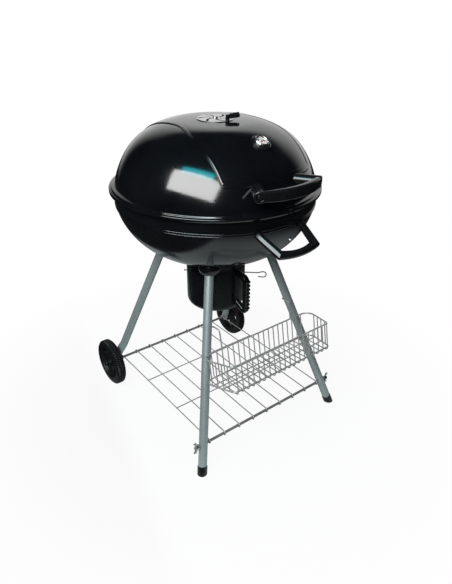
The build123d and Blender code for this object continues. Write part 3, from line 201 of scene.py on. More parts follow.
def arc_chain(ratios, turns, slopes, shift=0.0):
    """Radius and height change of tangent arcs, begun on the axis, at these slopes in degrees.

    An arc of radius R from slope a to slope b adds R (sin b - sin a) to the radius and
    R (cos a - cos b) to the height, and a slope inside an arc takes only the part before it.
    """
    edges = np.concatenate(([0.0], np.cumsum(turns)))
    low = np.radians(edges[:-1])[:, None]
    high = np.radians(np.clip(np.asarray(slopes)[None], edges[:-1, None], edges[1:, None]))
    radius = np.array(ratios)[:, None] * KETTLE_R + shift
    return (radius * (np.sin(high) - np.sin(low))).sum(0), (radius * (np.cos(low) - np.cos(high))).sum(0)


DOME_SLOPES = np.linspace(0, sum(LID_TURNS), 600)
DOME_R, DOME_FALL = arc_chain(LID_RATIOS, LID_TURNS, DOME_SLOPES)
LID_TOP = LID_EDGE + DOME_FALL[-1]
DOME_Z = LID_TOP - DOME_FALL
LID_R = DOME_R[-1]
FLANGE_R = LID_R + 16
BOWL_SLOPES = np.linspace(0, 90, 600)
BOWL_R, BOWL_RISE = arc_chain(BOWL_RATIOS, BOWL_TURNS, BOWL_SLOPES)
BOWL_BOTTOM = RIM_Z - BOWL_RISE[-1]
BOWL_Z = BOWL_BOTTOM + BOWL_RISE
THERMO_SLOPE = math.radians(THERMO_DEGREES)
THERMO_R, THERMO_FALL = (v[0] for v in arc_chain(LID_RATIOS, LID_TURNS, [THERMO_DEGREES], EMBOSS))
THERMO_AT = np.array([0.0, -THERMO_R, LID_TOP + EMBOSS - THERMO_FALL])
THERMO_OUT = np.array([0.0, -math.sin(THERMO_SLOPE), math.cos(THERMO_SLOPE)])
THERMO_UP = np.array([0.0, math.cos(THERMO_SLOPE), math.sin(THERMO_SLOPE)])


def on_dome(plan, lift):
    """Points over plan places on the lid, moved out along its normal by lift."""
    r = np.hypot(plan[..., 0], plan[..., 1])
    slope = np.radians(np.interp(r, DOME_R, DOME_SLOPES))
    out = 1 + lift * np.sin(slope) / np.maximum(r, 1e-6)
    z = np.interp(r, DOME_R, DOME_Z) + lift * np.cos(slope)
    return np.stack([plan[..., 0] * out, plan[..., 1] * out, z], -1)


def outside_lid(points):
    """How far points stand outside the lid, measured across from the axis."""
    return np.hypot(points[..., 0], points[..., 1]) - np.interp(points[..., 2], DOME_Z[::-1], DOME_R[::-1])


def outside_bowl(points):
    """How far points stand outside the bowl, measured across from the axis."""
    return np.hypot(points[..., 0], points[..., 1]) - np.interp(points[..., 2], BOWL_Z, BOWL_R)


def land(points, heading, reach, outside):
    """Distance along a heading at which each point meets a turned surface, by halving the reach."""
    low = np.zeros(points.shape[:-1])
    high = np.full(points.shape[:-1], float(reach))
    for _ in range(40):
        middle = (low + high) / 2
        clear = outside(points + middle[..., None] * heading) > 0
        low = np.where(clear, middle, low)
        high = np.where(clear, high, middle)
    return (low + high) / 2


def rounded(points, radius, steps=6, closed=False):
    """Polyline with its corners turned as circular arcs of this radius.

    With half turn h, the arc is the rational quadratic over the corner with weight cos h. It starts
    radius tan h before the corner, or at 0.48 of the shorter run where that is less.
    """
    points = np.asarray(points, float)
    if closed:
        before, corner, after = np.roll(points, 1, 0), points, np.roll(points, -1, 0)
    else:
        before, corner, after = points[:-2], points[1:-1], points[2:]
    back, ahead = before - corner, after - corner
    run = np.minimum(np.linalg.norm(back, axis=1), np.linalg.norm(ahead, axis=1))
    back, ahead = unit(back), unit(ahead)
    half = (np.pi - np.arccos(np.clip((back * ahead).sum(1), -1, 1))) / 2
    cut = np.minimum(np.asarray(radius) * np.tan(half), 0.48 * run)[:, None]
    t = np.linspace(0, 1, steps + 1)[None, :, None]
    weight = np.cos(half)[:, None, None]
    start, end, middle = (corner + back * cut)[:, None], (corner + ahead * cut)[:, None], corner[:, None]
    arcs = (1 - t) ** 2 * start + 2 * t * (1 - t) * weight * middle + t**2 * end
    arcs = (arcs / ((1 - t) ** 2 + 2 * t * (1 - t) * weight + t**2)).reshape(-1, points.shape[1])
    return arcs if closed else np.concatenate([points[:1], arcs, points[-1:]])


def soft_box(width, height, corner, steps=4):
    """Outline of a rectangle with rounded corners, counter-clockwise."""
    a, b = width / 2, height / 2
    return rounded([(a, -b), (a, b), (-a, b), (-a, -b)], corner, steps, closed=True)


def grid_mesh(grid, wrap_rows=False, ends=True, keep=None):
    """Grid of points as (points, quads, end caps). Columns go round, and wrapped rows do as well."""
    rows, columns = grid.shape[:2]
    index = np.arange(rows * columns).reshape(rows, columns)
    caps = [index[0], index[-1][::-1]] if ends and not wrap_rows else []
    if wrap_rows:
        index = np.concatenate([index, index[:1]], 0)
    index = np.concatenate([index, index[:, :1]], 1)
    quads = np.stack([index[:-1, :-1], index[:-1, 1:], index[1:, 1:], index[1:, :-1]], -1)
    quads = quads[keep] if keep is not None else quads.reshape(-1, 4)
    return grid.reshape(-1, 3), quads, caps


def lathe(profile, columns, origin=(0, 0, 0), axis=UP, angles=None):
    """Profile of (radius, height) turned about an axis: origin + r (x cos a + y sin a) + h axis."""
    profile = np.asarray(profile, float)
    axis = unit(axis)
    across = unit(np.cross((0.0, 1.0, 0.0) if abs(axis[1]) < 0.9 else (1.0, 0.0, 0.0), axis))
    other = np.cross(axis, across)
    turns = polar(round_turn(columns) if angles is None else angles)
    spokes = turns @ np.array([across, other])
    return np.asarray(origin) + profile[:, None, :1] * spokes[None] + profile[:, None, 1:] * axis


def turned(profile, columns, origin=(0, 0, 0), axis=UP, closed=False):
    """Mesh of a turned profile; closed joins its last point to its first."""
    return grid_mesh(lathe(profile, columns, origin, axis), wrap_rows=closed)


def sweep(path, profile, up, closed=False):
    """Profile (side, up) carried along a path, with each frame kept nearest to the up vector.

    The tangent is the difference of the next and the last point; the side is tangent x up.
    A profile may be one outline or one outline for each point of the path.
    """
    path = np.asarray(path, float)
    if closed:
        ahead = np.roll(path, -1, 0) - np.roll(path, 1, 0)
    else:
        ahead = np.gradient(path, axis=0)
    ahead = unit(ahead)
    side = unit(np.cross(ahead, np.asarray(up, float)))
    top = np.cross(side, ahead)
    profile = np.asarray(profile, float)
    if profile.ndim == 2:
        profile = profile[None]
    return path[:, None] + profile[..., :1] * side[:, None] + profile[..., 1:] * top[:, None]


def wire(path, radius, up, sides, closed=False):
    """Mesh of a round wire along a path, its ends closed."""
    return grid_mesh(sweep(path, ring(radius, sides), up, closed), wrap_rows=closed)


def rod(start, end, radius, sides, chamfer=0.4):
    """Mesh of a straight round bar with chamfered ends."""
    start, end = np.asarray(start, float), np.asarray(end, float)
    length = np.linalg.norm(end - start)
    inner = radius - chamfer
    profile = [(inner, 0), (radius, chamfer), (radius, length - chamfer), (inner, length)]
    return turned(profile, sides, start, end - start)


def mirrored(mesh):
    """The same mesh on the other side of the YZ plane."""
    points, quads, caps = mesh
    return points * np.array([-1.0, 1.0, 1.0]), quads[:, ::-1], [cap[::-1] for cap in caps]


def in_plane(points, origin, along, up):
    """Points of a plane given by its origin and its two directions."""
    points = np.asarray(points, float)
    return np.asarray(origin) + points[:, :1] * np.asarray(along) + points[:, 1:2] * np.asarray(up)


def make_piece(name, meshes, coat, body, slot, *nodes, sharp=38.0, wall=0.0, outward=None):
    """Puts meshes in millimetres into one object that rides on a body and stands for its nodes.

    Doubles are merged at poles and seams. Closed shells get outward normals; an open sheet, which a
    Solidify modifier thickens inwards by wall, is turned to face away from the point outward.
    """
    starts = np.cumsum([0] + [len(points) for points, _, _ in meshes[:-1]])
    points = np.concatenate([points for points, _, _ in meshes]) * MM
    faces = []
    for start, (_, quads, caps) in zip(starts, meshes):
        faces += (quads + start).tolist()
        faces += [(cap + start).tolist() for cap in caps]
    mesh = bpy.data.meshes.new(name)
    mesh.from_pydata(points.tolist(), [], faces)
    work = bmesh.new()
    work.from_mesh(mesh)
    bmesh.ops.remove_doubles(work, verts=work.verts, dist=2e-6)
    bmesh.ops.dissolve_degenerate(work, edges=work.edges, dist=1e-7)
    loose = [v for v in work.verts if not v.link_faces]
    bmesh.ops.delete(work, geom=loose, context="VERTS")
    bmesh.ops.recalc_face_normals(work, faces=work.faces)
    if outward is not None:
        centre = Vector(outward) * MM
        facing = sum(f.normal.dot(f.calc_center_median() - centre) * f.calc_area() for f in work.faces)
        if facing < 0:
            bmesh.ops.reverse_faces(work, faces=work.faces)
    work.to_mesh(mesh)
    work.free()
    mesh.validate()
    mesh.shade_smooth()
    mesh.set_sharp_from_angle(angle=math.radians(sharp))
    if not len(mesh.polygons):
        raise RuntimeError(f"{name} has no faces")
    piece = bpy.data.objects.new(name, mesh)
    bpy.context.scene.collection.objects.link(piece)
    piece.data.materials.append(coat)
    if wall:
        solid = piece.modifiers.new("wall", "SOLIDIFY")
        solid.thickness = wall * MM
        solid.offset = -1
    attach(piece, body)
    if nodes:
        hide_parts(*nodes)
    return piece


def moulded(name, meshes, body, *nodes, sharp=38.0):
    """Piece of black moulded plastic."""
    return make_piece(name, meshes, plastic(), body, "black_plastic", *nodes, sharp=sharp)


def dress(coat, *nodes):
    """Gives kept nodes a finish in every material slot."""
    for node in nodes:
        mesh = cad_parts[node].data
        mesh.materials.clear()
        mesh.materials.append(coat)


def shade(tint, factor):
    """A colour made lighter or darker."""
    return tuple(min(1.0, c * factor) for c in tint)


def chosen(name):
    """Colour of a finish as the panel sets it."""
    return tuple(getattr(bpy.context.scene.grill_colours, name))


class Nodes:
    """Short calls for the nodes of one tree. A value is a number, a colour or another node's socket."""

    def __init__(self, tree):
        self.nodes, self.links = tree.nodes, tree.links

    def add(self, kind, **settings):
        """New node with its own settings."""
        node = self.nodes.new(kind)
        for name, value in settings.items():
            setattr(node, name, value)
        return node

    def put(self, socket, value):
        """Sets a socket, or links it."""
        if isinstance(value, bpy.types.NodeSocket):
            self.links.new(value, socket)
        else:
            socket.default_value = (*value, 1.0) if socket.type == "RGBA" else value

    def fill(self, node, *values):
        """Puts values into a node's sockets in order and gives its outputs."""
        for socket, value in zip(node.inputs, values):
            self.put(socket, value)
        return node.outputs

    def math(self, operation, *values):
        """Math node over sockets or numbers."""
        return self.fill(self.add("ShaderNodeMath", operation=operation), *values)[0]

    def product(self, *values):
        """Product of two or more values."""
        total = values[0]
        for value in values[1:]:
            total = self.math("MULTIPLY", total, value)
        return total

    def measure(self, operation, *values):
        """Vector maths that gives one number."""
        return self.fill(self.add("ShaderNodeVectorMath", operation=operation), *values)["Value"]

    def parts(self, place):
        """X, Y and Z of a vector."""
        return self.fill(self.add("ShaderNodeSeparateXYZ"), place)

    def span(self, x, y):
        """Length of a plane vector."""
        return self.math("SQRT", self.math("ADD", self.product(x, x), self.product(y, y)))

    def spread(self, source, low, high, start=0.3, end=0.7, curve="LINEAR"):
        """Source between start and end spread to the range low to high."""
        node = self.add("ShaderNodeMapRange", interpolation_type=curve)
        return self.fill(node, source, start, end, low, high)[0]

    def ramp(self, source, *stops):
        """Colour ramp with stops of (place, colour)."""
        node = self.add("ShaderNodeValToRGB")
        elements = node.color_ramp.elements
        while len(elements) < len(stops):
            elements.new(0.5)
        for element, (place, tint) in zip(elements, stops):
            element.position = place
            element.color = (*tint, 1.0)
        return self.fill(node, source)["Color"]

    def tone(self, source, tint, first, last, start=0.3, end=0.7):
        """Ramp between two shades of one colour."""
        return self.ramp(source, (start, shade(tint, first)), (end, shade(tint, last)))

    def mix(self, factor, first, second):
        """Colour mix of two sockets or colours."""
        node = self.add("ShaderNodeMix", data_type="RGBA")
        for place, value in ((0, factor), (6, first), (7, second)):
            self.put(node.inputs[place], value)
        return node.outputs[2]


class Finish(Nodes):
    """A node material in the object's own coordinates."""

    def __init__(self, name):
        self.material = bpy.data.materials.new(name)
        self.material.use_nodes = True
        super().__init__(self.material.node_tree)
        self.shader = self.nodes["Principled BSDF"]
        self.place = self.add("ShaderNodeTexCoord").outputs["Object"]

    def noise(self, scale, detail, place=None):
        """Noise over the object's coordinates or another place; scale is repeats a metre."""
        node = self.add("ShaderNodeTexNoise")
        self.put(node.inputs["Vector"], place or self.place)
        self.put(node.inputs["Scale"], scale)
        self.put(node.inputs["Detail"], detail)
        return node.outputs["Fac"]

    def bump(self, height, strength, distance):
        """Bump of a height in metres times strength."""
        node = self.add("ShaderNodeBump")
        self.put(node.inputs["Height"], height)
        self.put(node.inputs["Strength"], strength)
        self.put(node.inputs["Distance"], distance)
        self.put(self.shader.inputs["Normal"], node.outputs["Normal"])

    def set(self, **values):
        """Sets the shader's own sockets, or links them; underscores stand for spaces."""
        for key, value in values.items():
            self.put(self.shader.inputs[key.replace("_", " ")], value)
        return self.material


def finish(name):
    """Makes a finish when it is first asked for, and gives the one of that name after that."""
    def wrap(build):
        def give():
            return bpy.data.materials.get(name) or build(Finish(name))
        give.__doc__ = build.__doc__
        return give
    return wrap


def moulding(f, tint, grain, low, high, gloss):
    """Moulded plastic: fine spark grain, with its roughness from low to high."""
    cloud = f.noise(40.0, 3.0)
    spark = f.noise(grain, 2.0)
    f.bump(spark, 0.10, 0.00025)
    return f.set(
        Base_Color=f.tone(cloud, tint, 0.8, 1.3), Roughness=f.spread(spark, low, high),
        Specular_IOR_Level=gloss)


def plating(f, tint, grain, low, high, depth=0.06, metal=1.0):
    """Plated metal with a fine grain and faint stains; a dull coat has less metal in it."""
    fine = f.noise(grain, 3.0)
    cloud = f.noise(22.0, 4.0)
    f.bump(fine, depth, 0.0002)
    return f.set(
        Base_Color=f.tone(cloud, tint, 0.78, 1.06, 0.28, 0.72), Metallic=metal,
        Roughness=f.spread(fine, low, high))


@finish("enamel_gloss")
def enamel(f):
    """Black enamel: a glassy coat with a faint ripple and a thin haze of dust."""
    cloud = f.noise(9.0, 4.0)
    dust = f.spread(f.noise(2400.0, 0.0), 0.0, 0.35, 0.74, 0.80)
    f.bump(f.noise(260.0, 1.0), 0.08, 0.0004)
    tone = f.mix(dust, f.tone(cloud, chosen("enamel"), 0.75, 1.5), (0.05, 0.05, 0.05))
    return f.set(Base_Color=tone, Roughness=f.spread(cloud, 0.085, 0.15), IOR=1.6)


@finish("hammered_grey")
def leg_paint(f):
    """Hammered silver-grey paint: flowing cells with darker seams and a soft metal shine."""
    tint = chosen("leg")
    cells = f.add("ShaderNodeTexVoronoi", feature="SMOOTH_F1")
    f.put(cells.inputs["Vector"], f.place)
    f.put(cells.inputs["Scale"], 420.0)
    pits = cells.outputs["Distance"]
    cloud = f.noise(30.0, 3.0)
    f.bump(pits, 0.12, 0.0006)
    tone = f.mix(f.spread(cloud, 0.0, 0.3), f.tone(pits, tint, 1.10, 0.86, 0.15, 0.75), shade(tint, 0.9))
    return f.set(Base_Color=tone, Metallic=0.55, Roughness=f.spread(cloud, 0.36, 0.48))


@finish("moulded_black")
def plastic(f):
    """Black plastic of the grips, sockets and caps, with a satin sheen."""
    return moulding(f, chosen("plastic"), 1900.0, 0.16, 0.24, gloss=0.5)


@finish("moulded_tyre")
def tyre_plastic(f):
    """Wheel plastic: coarser and duller than the grips."""
    return moulding(f, chosen("tyre"), 1200.0, 0.36, 0.50, gloss=0.2)


@finish("plated_wire")
def wire_steel(f):
    """Zinc-plated wire."""
    return plating(f, chosen("wire"), 500.0, 0.30, 0.46, metal=0.45)


@finish("dull_rod")
def rod_steel(f):
    """Dull steel of the axle and the front rod."""
    return plating(f, (0.22, 0.21, 0.20), 400.0, 0.34, 0.5, metal=0.45)


@finish("plated_fastener")
def fastener_steel(f):
    """Zinc-plated bolts, nuts and rivets."""
    return plating(f, chosen("plated"), 800.0, 0.28, 0.42)


@finish("bezel_chrome")
def bezel_chrome(f):
    """Satin chrome of the thermometer bezel."""
    return plating(f, shade(chosen("plated"), 1.4), 900.0, 0.20, 0.30, depth=0.02)


@finish("grate_chrome")
def grate_steel(f):
    """Chromed grate bars with a straw heat tint."""
    tint = chosen("plated")
    cloud = f.noise(14.0, 4.0)
    tone = f.ramp(cloud, (0.35, shade(tint, 0.9)), (0.62, (0.52, 0.46, 0.36)), (0.8, shade(tint, 0.7)))
    f.bump(f.noise(700.0, 2.0), 0.08, 0.0002)
    return f.set(Base_Color=tone, Metallic=1.0, Roughness=f.spread(cloud, 0.22, 0.4))


@finish("spun_aluminium")
def vent_aluminium(f):
    """Spun aluminium: fine rings about the kettle axis."""
    x, y, _ = f.parts(f.place)
    turn = f.fill(f.add("ShaderNodeCombineXYZ"), f.span(x, y))[0]
    rings = f.noise(2600.0, 2.0, turn)
    f.bump(rings, 0.10, 0.0001)
    tone = f.tone(f.noise(60.0, 3.0), chosen("aluminium"), 0.85, 1.0)
    return f.set(Base_Color=tone, Metallic=1.0, Roughness=f.spread(rings, 0.24, 0.40))


@finish("black_sheet")
def dark_steel(f):
    """Black painted sheet and rod: semi-gloss with small runs in the paint."""
    cloud = f.noise(26.0, 4.0)
    f.bump(f.noise(420.0, 2.0), 0.10, 0.0004)
    return f.set(
        Base_Color=f.tone(cloud, shade(chosen("enamel"), 1.6), 0.8, 1.4),
        Roughness=f.spread(cloud, 0.18, 0.30), Specular_IOR_Level=0.22)


@finish("needle_paint")
def needle_red(f):
    """Red paint of the needle."""
    tone = f.ramp(f.noise(300.0, 3.0), (0.3, (0.40, 0.03, 0.02)), (0.7, (0.55, 0.05, 0.03)))
    return f.set(Base_Color=tone, Roughness=0.4)


@finish("lens_glass")
def lens_glass(f):
    """Clear lens with faint wipe marks."""
    wipes = f.spread(f.noise(90.0, 3.0), 0.0, 0.05)
    return f.set(Base_Color=WHITE, Transmission_Weight=1.0, IOR=1.2, Roughness=wipes)


@finish("dial_print")
def dial_print(f):
    """Pale dial: ticks round three quarters of a turn, a grey band and a red hot band.

    The angle and radius come from the object's coordinates turned into the dial's own plane.
    """
    basis = Matrix((Vector(RIGHT), Vector(THERMO_UP), Vector(THERMO_OUT)))
    turn = f.add("ShaderNodeMapping", vector_type="POINT")
    f.put(turn.inputs["Vector"], f.place)
    f.put(turn.inputs["Rotation"], basis.to_euler())
    f.put(turn.inputs["Location"], -(basis @ Vector(THERMO_AT * MM)))
    x, y, _ = f.parts(turn.outputs["Vector"])
    radius = f.span(x, y)
    angle = f.math("ARCTAN2", x, y)

    def below(value, degrees):
        """One where an angle is under a limit."""
        return f.math("LESS_THAN", value, math.radians(degrees))

    def beat(degrees):
        """Angle to the nearest of the marks that are twice this far apart."""
        return f.math("PINGPONG", angle, math.radians(degrees))

    def band(low, high):
        """One between two radii in metres."""
        return f.product(f.math("GREATER_THAN", radius, low), f.math("LESS_THAN", radius, high))

    scale = below(f.math("ABSOLUTE", angle), 136)
    ticks = f.product(below(beat(7.5), 1.3), band(0.0113, 0.0128))
    marks = f.product(below(beat(22.5), 2.0), band(0.0098, 0.0128))
    dark = f.product(f.math("MAXIMUM", ticks, marks), scale)
    stripe = f.product(band(0.0070, 0.0092), scale)
    hot = f.product(f.math("GREATER_THAN", angle, math.radians(40)), stripe)
    warm = f.product(below(angle, -20), stripe)
    cloud = f.noise(160.0, 3.0)
    tone = f.ramp(cloud, (0.3, (0.60, 0.61, 0.59)), (0.7, (0.68, 0.69, 0.67)))
    for share, ink in (
        (f.product(hot, 0.8), (0.42, 0.07, 0.05)),
        (f.product(warm, 0.5), (0.25, 0.27, 0.27)),
        (f.product(dark, 0.85), (0.03, 0.03, 0.03)),
    ):
        tone = f.mix(share, tone, ink)
    return f.set(Base_Color=tone, Roughness=f.spread(cloud, 0.35, 0.5))


def panel_edge(angles):
    """Plan radius of the raised lid panel at these angles about the axis.

    The side is where the ray reaches a half width that eases from 142 at the front to 115 behind;
    the front is a circle of 0.915 kettle radii and the back one of 0.905. Joining side and end by
    the sum of their inverse powers rounds the four corners.
    """
    low = np.full(angles.shape, 60.0)
    high = np.full(angles.shape, 2000.0)
    for _ in range(50):
        middle = (low + high) / 2
        half = 142 - 27 * ease((middle * np.sin(angles) + 119) / 139)
        inside = middle * np.abs(np.cos(angles)) < half
        low = np.where(inside, middle, low)
        high = np.where(inside, high, middle)
    power = 90.0
    end = KETTLE_R * np.where(np.sin(angles) < 0, 0.915, 0.905)
    return (low**-power + end**-power) ** (-1 / power)


def vent_slot_gap(plan):
    """Distance of plan points from the middle line of the nearest of the six curved vent slots.

    A slot's middle line is the circle arc through (14, 0), (28, 5.5) and (39, 19); points are turned
    into each of the six places and the smallest distance to the arc is kept.
    """
    centre = np.array([9.94, 32.84])
    first, last = np.array([(14, 0), (39, 19)]) - centre
    radius = np.hypot(*first)
    turns = np.arange(6) * TURN / 6
    x = plan[..., None, 0] * np.cos(turns) + plan[..., None, 1] * np.sin(turns) - centre[0]
    y = plan[..., None, 1] * np.cos(turns) - plan[..., None, 0] * np.sin(turns) - centre[1]
    angle = np.clip(np.arctan2(y, x), math.atan2(first[1], first[0]), math.atan2(last[1], last[0]))
    return np.hypot(x - radius * np.cos(angle), y - radius * np.sin(angle)).min(-1)


class GRILL_OT_lid(bpy.types.Operator):
    """Lid: a dome of tangent arcs with a flange, and a raised panel with a pressed double edge"""

    bl_idname = "grill.lid"
    bl_label = "Lid"

    def execute(self, context):
        ridge = context.scene.grill_sizes.ridge / MM
        # Under the vent the dome is at the panel's level, and it steps down beneath the panel
        top = np.linspace(3.2, 46.0, 44)
        step = np.linspace(47.0, 52.0, 4)
        radius = np.append(top, step)
        lift = np.append(np.full(len(top), EMBOSS), np.linspace(EMBOSS, 0, len(step))) - 0.06
        crown = on_dome(np.stack([radius, np.zeros_like(radius)], -1), lift)[:, [0, 2]]
        slopes = np.interp(np.linspace(53.0, LID_R, 90), DOME_R, DOME_SLOPES)
        slopes = np.unique(np.append(slopes, np.linspace(slopes[-12], DOME_SLOPES[-1], 14)))
        dome_r, fall = arc_chain(LID_RATIOS, LID_TURNS, slopes)
        flange = rounded(
            [(LID_R, LID_EDGE), (LID_R + 9, LID_EDGE - 2), (LID_R + 10.5, LID_EDGE - 6),
             (FLANGE_R, LID_EDGE - 8), (FLANGE_R, LID_EDGE - 15.5)], 2.6, 5)
        profile = np.concatenate([crown, np.stack([dome_r, LID_TOP - fall], -1), flange[1:]])
        shell = lathe(profile, KETTLE_COLUMNS)
        ahead = np.roll(shell, -1, 1)
        centres = (shell[:-1] + shell[1:] + ahead[:-1] + ahead[1:])[..., :2] / 4
        slots = (np.hypot(centres[..., 0], centres[..., 1]) < 44) & (vent_slot_gap(centres) < 3.5)
        make_piece(
            "lid_dome", [grid_mesh(shell, ends=False, keep=~slots)], enamel(), "lid", "enamel", "lid_shell",
            sharp=50, wall=SHEET, outward=KETTLE_MIDDLE)

        angles = round_turn(PANEL_COLUMNS)
        outline = panel_edge(angles)[:, None] * polar(angles)
        along = unit(np.roll(outline, -1, 0) - np.roll(outline, 1, 0))
        inward = np.stack([-along[:, 1], along[:, 0]], -1)
        inset = np.array([0.0, 0.5, 1.1, 1.8, 2.6, 3.4, 4.3, 5.2, 6.1, 7.0, 7.9, 8.8, 9.7, 11.0, 12.5])
        height = np.array([-0.5, 0.35, 0.9, 1.0, 0.75, 0.2, 0.1, 0.6, 1.0, 0.75, 0.3, 0.08, 0.0, 0.0, 0.0])
        lifts = EMBOSS * np.clip(inset / 2.0, 0, 1) + ridge * height
        lifts[0] = -0.5
        rim = outline + inset[:, None, None] * inward
        share = np.linspace(0, 1, 44)[1:, None, None]
        field = (1 - share) * rim[-1] + share * 46.5 * polar(angles)
        lift = np.append(lifts, np.full(len(field), EMBOSS))[:, None]
        panel = grid_mesh(on_dome(np.concatenate([rim, field]), lift), ends=False)
        make_piece("lid_panel", [panel], enamel(), "lid", "enamel", sharp=50, outward=KETTLE_MIDDLE)
        return {"FINISHED"}


class GRILL_OT_lid_handle(bpy.types.Operator):
    """Lid handle: a bowed grip between two splayed round posts with sunk plugs"""

    bl_idname = "grill.lid_handle"
    bl_label = "Lid handle"

    def execute(self, context):
        half = POST_END[0] - 10
        x = np.linspace(-half, half, 41)
        path = np.stack([x, -295.0 - 21.0 * (1 - (x / half) ** 2), np.full_like(x, LID_HANDLE_Z)], -1)
        swell = 1 - 0.10 * np.abs(x / half)[:, None, None] ** 4
        grip = grid_mesh(sweep(path, soft_box(17.6, 29.6, 6.4, 6) * swell, UP))
        out = unit(np.append(POST_END - POST_FOOT, 0.0))
        end = np.append(POST_END, LID_HANDLE_Z)
        cup = rounded([(POLE, -8), (9, -8), (9, 0), (15.0, 0), (15.0, -30)], [0.8, 1.0, 3.4], 5)
        post = lathe(cup, 48, end, out)
        foot = post[-1] - land(post[-1], -out, 80, outside_lid)[:, None] * out
        runs = np.linspace(0.25, 1, 4)[:, None, None]
        post = grid_mesh(np.concatenate([post, post[-1] + (foot - post[-1]) * runs]))
        moulded("lid_handle_grip", [grip, post, mirrored(post)], "lid", "lid_handle", sharp=40)
        head = rounded([(POLE, -1.0), (5.0, -1.2), (5.4, -2.0), (8.4, -2.2), (8.4, -8)], 0.5, 4)
        plug = turned(head, 40, end, out)
        moulded("lid_handle_plugs", [plug, mirrored(plug)], "lid", "lid_handle_screws")
        return {"FINISHED"}


class GRILL_OT_vent(bpy.types.Operator):
    """Vent: the slotted disc keeps its solid; its rivet, lever and ribbed grip are turned"""

    bl_idname = "grill.vent"
    bl_label = "Lid vent"

    def execute(self, context):
        dress(vent_aluminium(), "vent_disc")
        top = LID_TOP + EMBOSS + DISC_RISE
        head = rounded([(POLE, 3.4), (4.5, 3.3), (7.4, 1.5), (7.4, 0.4), (POLE, 0.4)], 1.4, 5)
        make_piece("vent_rivet_head", [turned(head, 40, (0, 0, top))], fastener_steel(), "lid", "fastener")
        dress(fastener_steel(), "vent_rivet")
        base = LEVER_R * level(LEVER_AT) + (top - LEVER_R**2 / (2 * LID_RATIOS[0] * KETTLE_R)) * UP
        post = rounded([(POLE, 0.1), (5.5, 0.1), (5.5, 14.1), (POLE, 14.1)], [0.4, 1.8], 4)
        start = base + 9.0 * UP
        heading = math.cos(LEVER_RISE) * level(LEVER_HEAD) + math.sin(LEVER_RISE) * UP
        arm = rod(start, start + heading * 28, 2.0, 16)
        make_piece(
            "vent_lever_post", [turned(post, 32, base), arm], dark_steel(), "lid_damper", "black_plastic",
            "vent_lever")
        first, last, soft = 6.0, 32.0, 1.6
        run = np.linspace(first, last, 131)
        rib = 6.5 + 0.55 * np.clip(1.6 * np.cos(TURN * (run - 8.0) / 4.0), -1, 1)
        ends = np.clip(np.minimum(run - first, last - run) / soft, 0, 1)
        rib = rib - soft * (1 - np.sqrt(1 - (1 - ends) ** 2))
        profile = np.concatenate([[(POLE, first)], np.stack([rib, run], -1), [(POLE, last)]])
        moulded("vent_lever_grip", [turned(profile, 32, start, heading)], "lid_damper", "vent_grip")
        return {"FINISHED"}


class GRILL_OT_thermometer(bpy.types.Operator):
    """Thermometer: a flared seat, a chrome bezel, a lens, the printed dial and its needle"""

    bl_idname = "grill.thermometer"
    bl_label = "Thermometer"

    def execute(self, context):
        def gauge(profile, columns, closed=False):
            """Mesh turned about the thermometer's axis."""
            return turned(profile, columns, THERMO_AT, THERMO_OUT, closed)

        seat = rounded(
            [(18.15, -6), (18.15, 4.8), (22.4, 5.0), (24.8, 3.2), (25.5, 1), (25.5, -6)],
            [0.4, 0.8, 1.2, 1.0], 5)
        grid = lathe(seat, 96, THERMO_AT, THERMO_OUT)
        for row, rise in ((0, 12), (-1, 6)):
            drop = land(grid[row] + THERMO_OUT * rise, -THERMO_OUT, 40, outside_lid)
            grid[row] += THERMO_OUT * (rise - drop)[:, None]
        moulded("thermometer_seat_ring", [grid_mesh(grid, wrap_rows=True)], "lid", "thermometer_seat")
        bezel = rounded(
            [(13.4, 7.0), (13.4, 8.9), (14.2, 10.3), (16.6, 10.4), (18, 8.5), (18, 1.0), (14.7, 1.0),
             (14.7, 4.0)], 0.8, 4, closed=True)
        lens = [(POLE, 8.8), (5, 8.77), (10, 8.55), (13, 8.2), (14.4, 7.8), (14.4, 7.4), (POLE, 7.4)]
        face = rounded([(POLE, 5.0), (14.5, 5.0), (14.5, 4.2), (POLE, 4.2)], 0.2, 3)
        for name, mesh, coat, slot, node in (
            ("bezel", gauge(bezel, 96, True), bezel_chrome(), "chrome", "case"),
            ("glass", gauge(lens, 64), lens_glass(), "glass", "lens"),
            ("face", gauge(face, 64), dial_print(), "dial", "dial"),
        ):
            make_piece(f"thermometer_{name}", [mesh], coat, "lid", slot, f"thermometer_{node}")
        pivot = THERMO_AT + THERMO_OUT * 6.0
        point = math.cos(NEEDLE_AT) * THERMO_UP + math.sin(NEEDLE_AT) * RIGHT
        bar = rod(pivot - point * 3.5, pivot + point * 10.5, 0.6, 12)
        boss = rounded([(POLE, -0.6), (2.2, -0.6), (2.2, 0.9), (POLE, 0.9)], 0.3, 3)
        make_piece(
            "thermometer_pointer", [bar, turned(boss, 24, pivot, THERMO_OUT)], needle_red(), "needle",
            "needle_red", "thermometer_needle")
        dress(fastener_steel(), "thermometer_stem", "thermometer_nut")
        return {"FINISHED"}


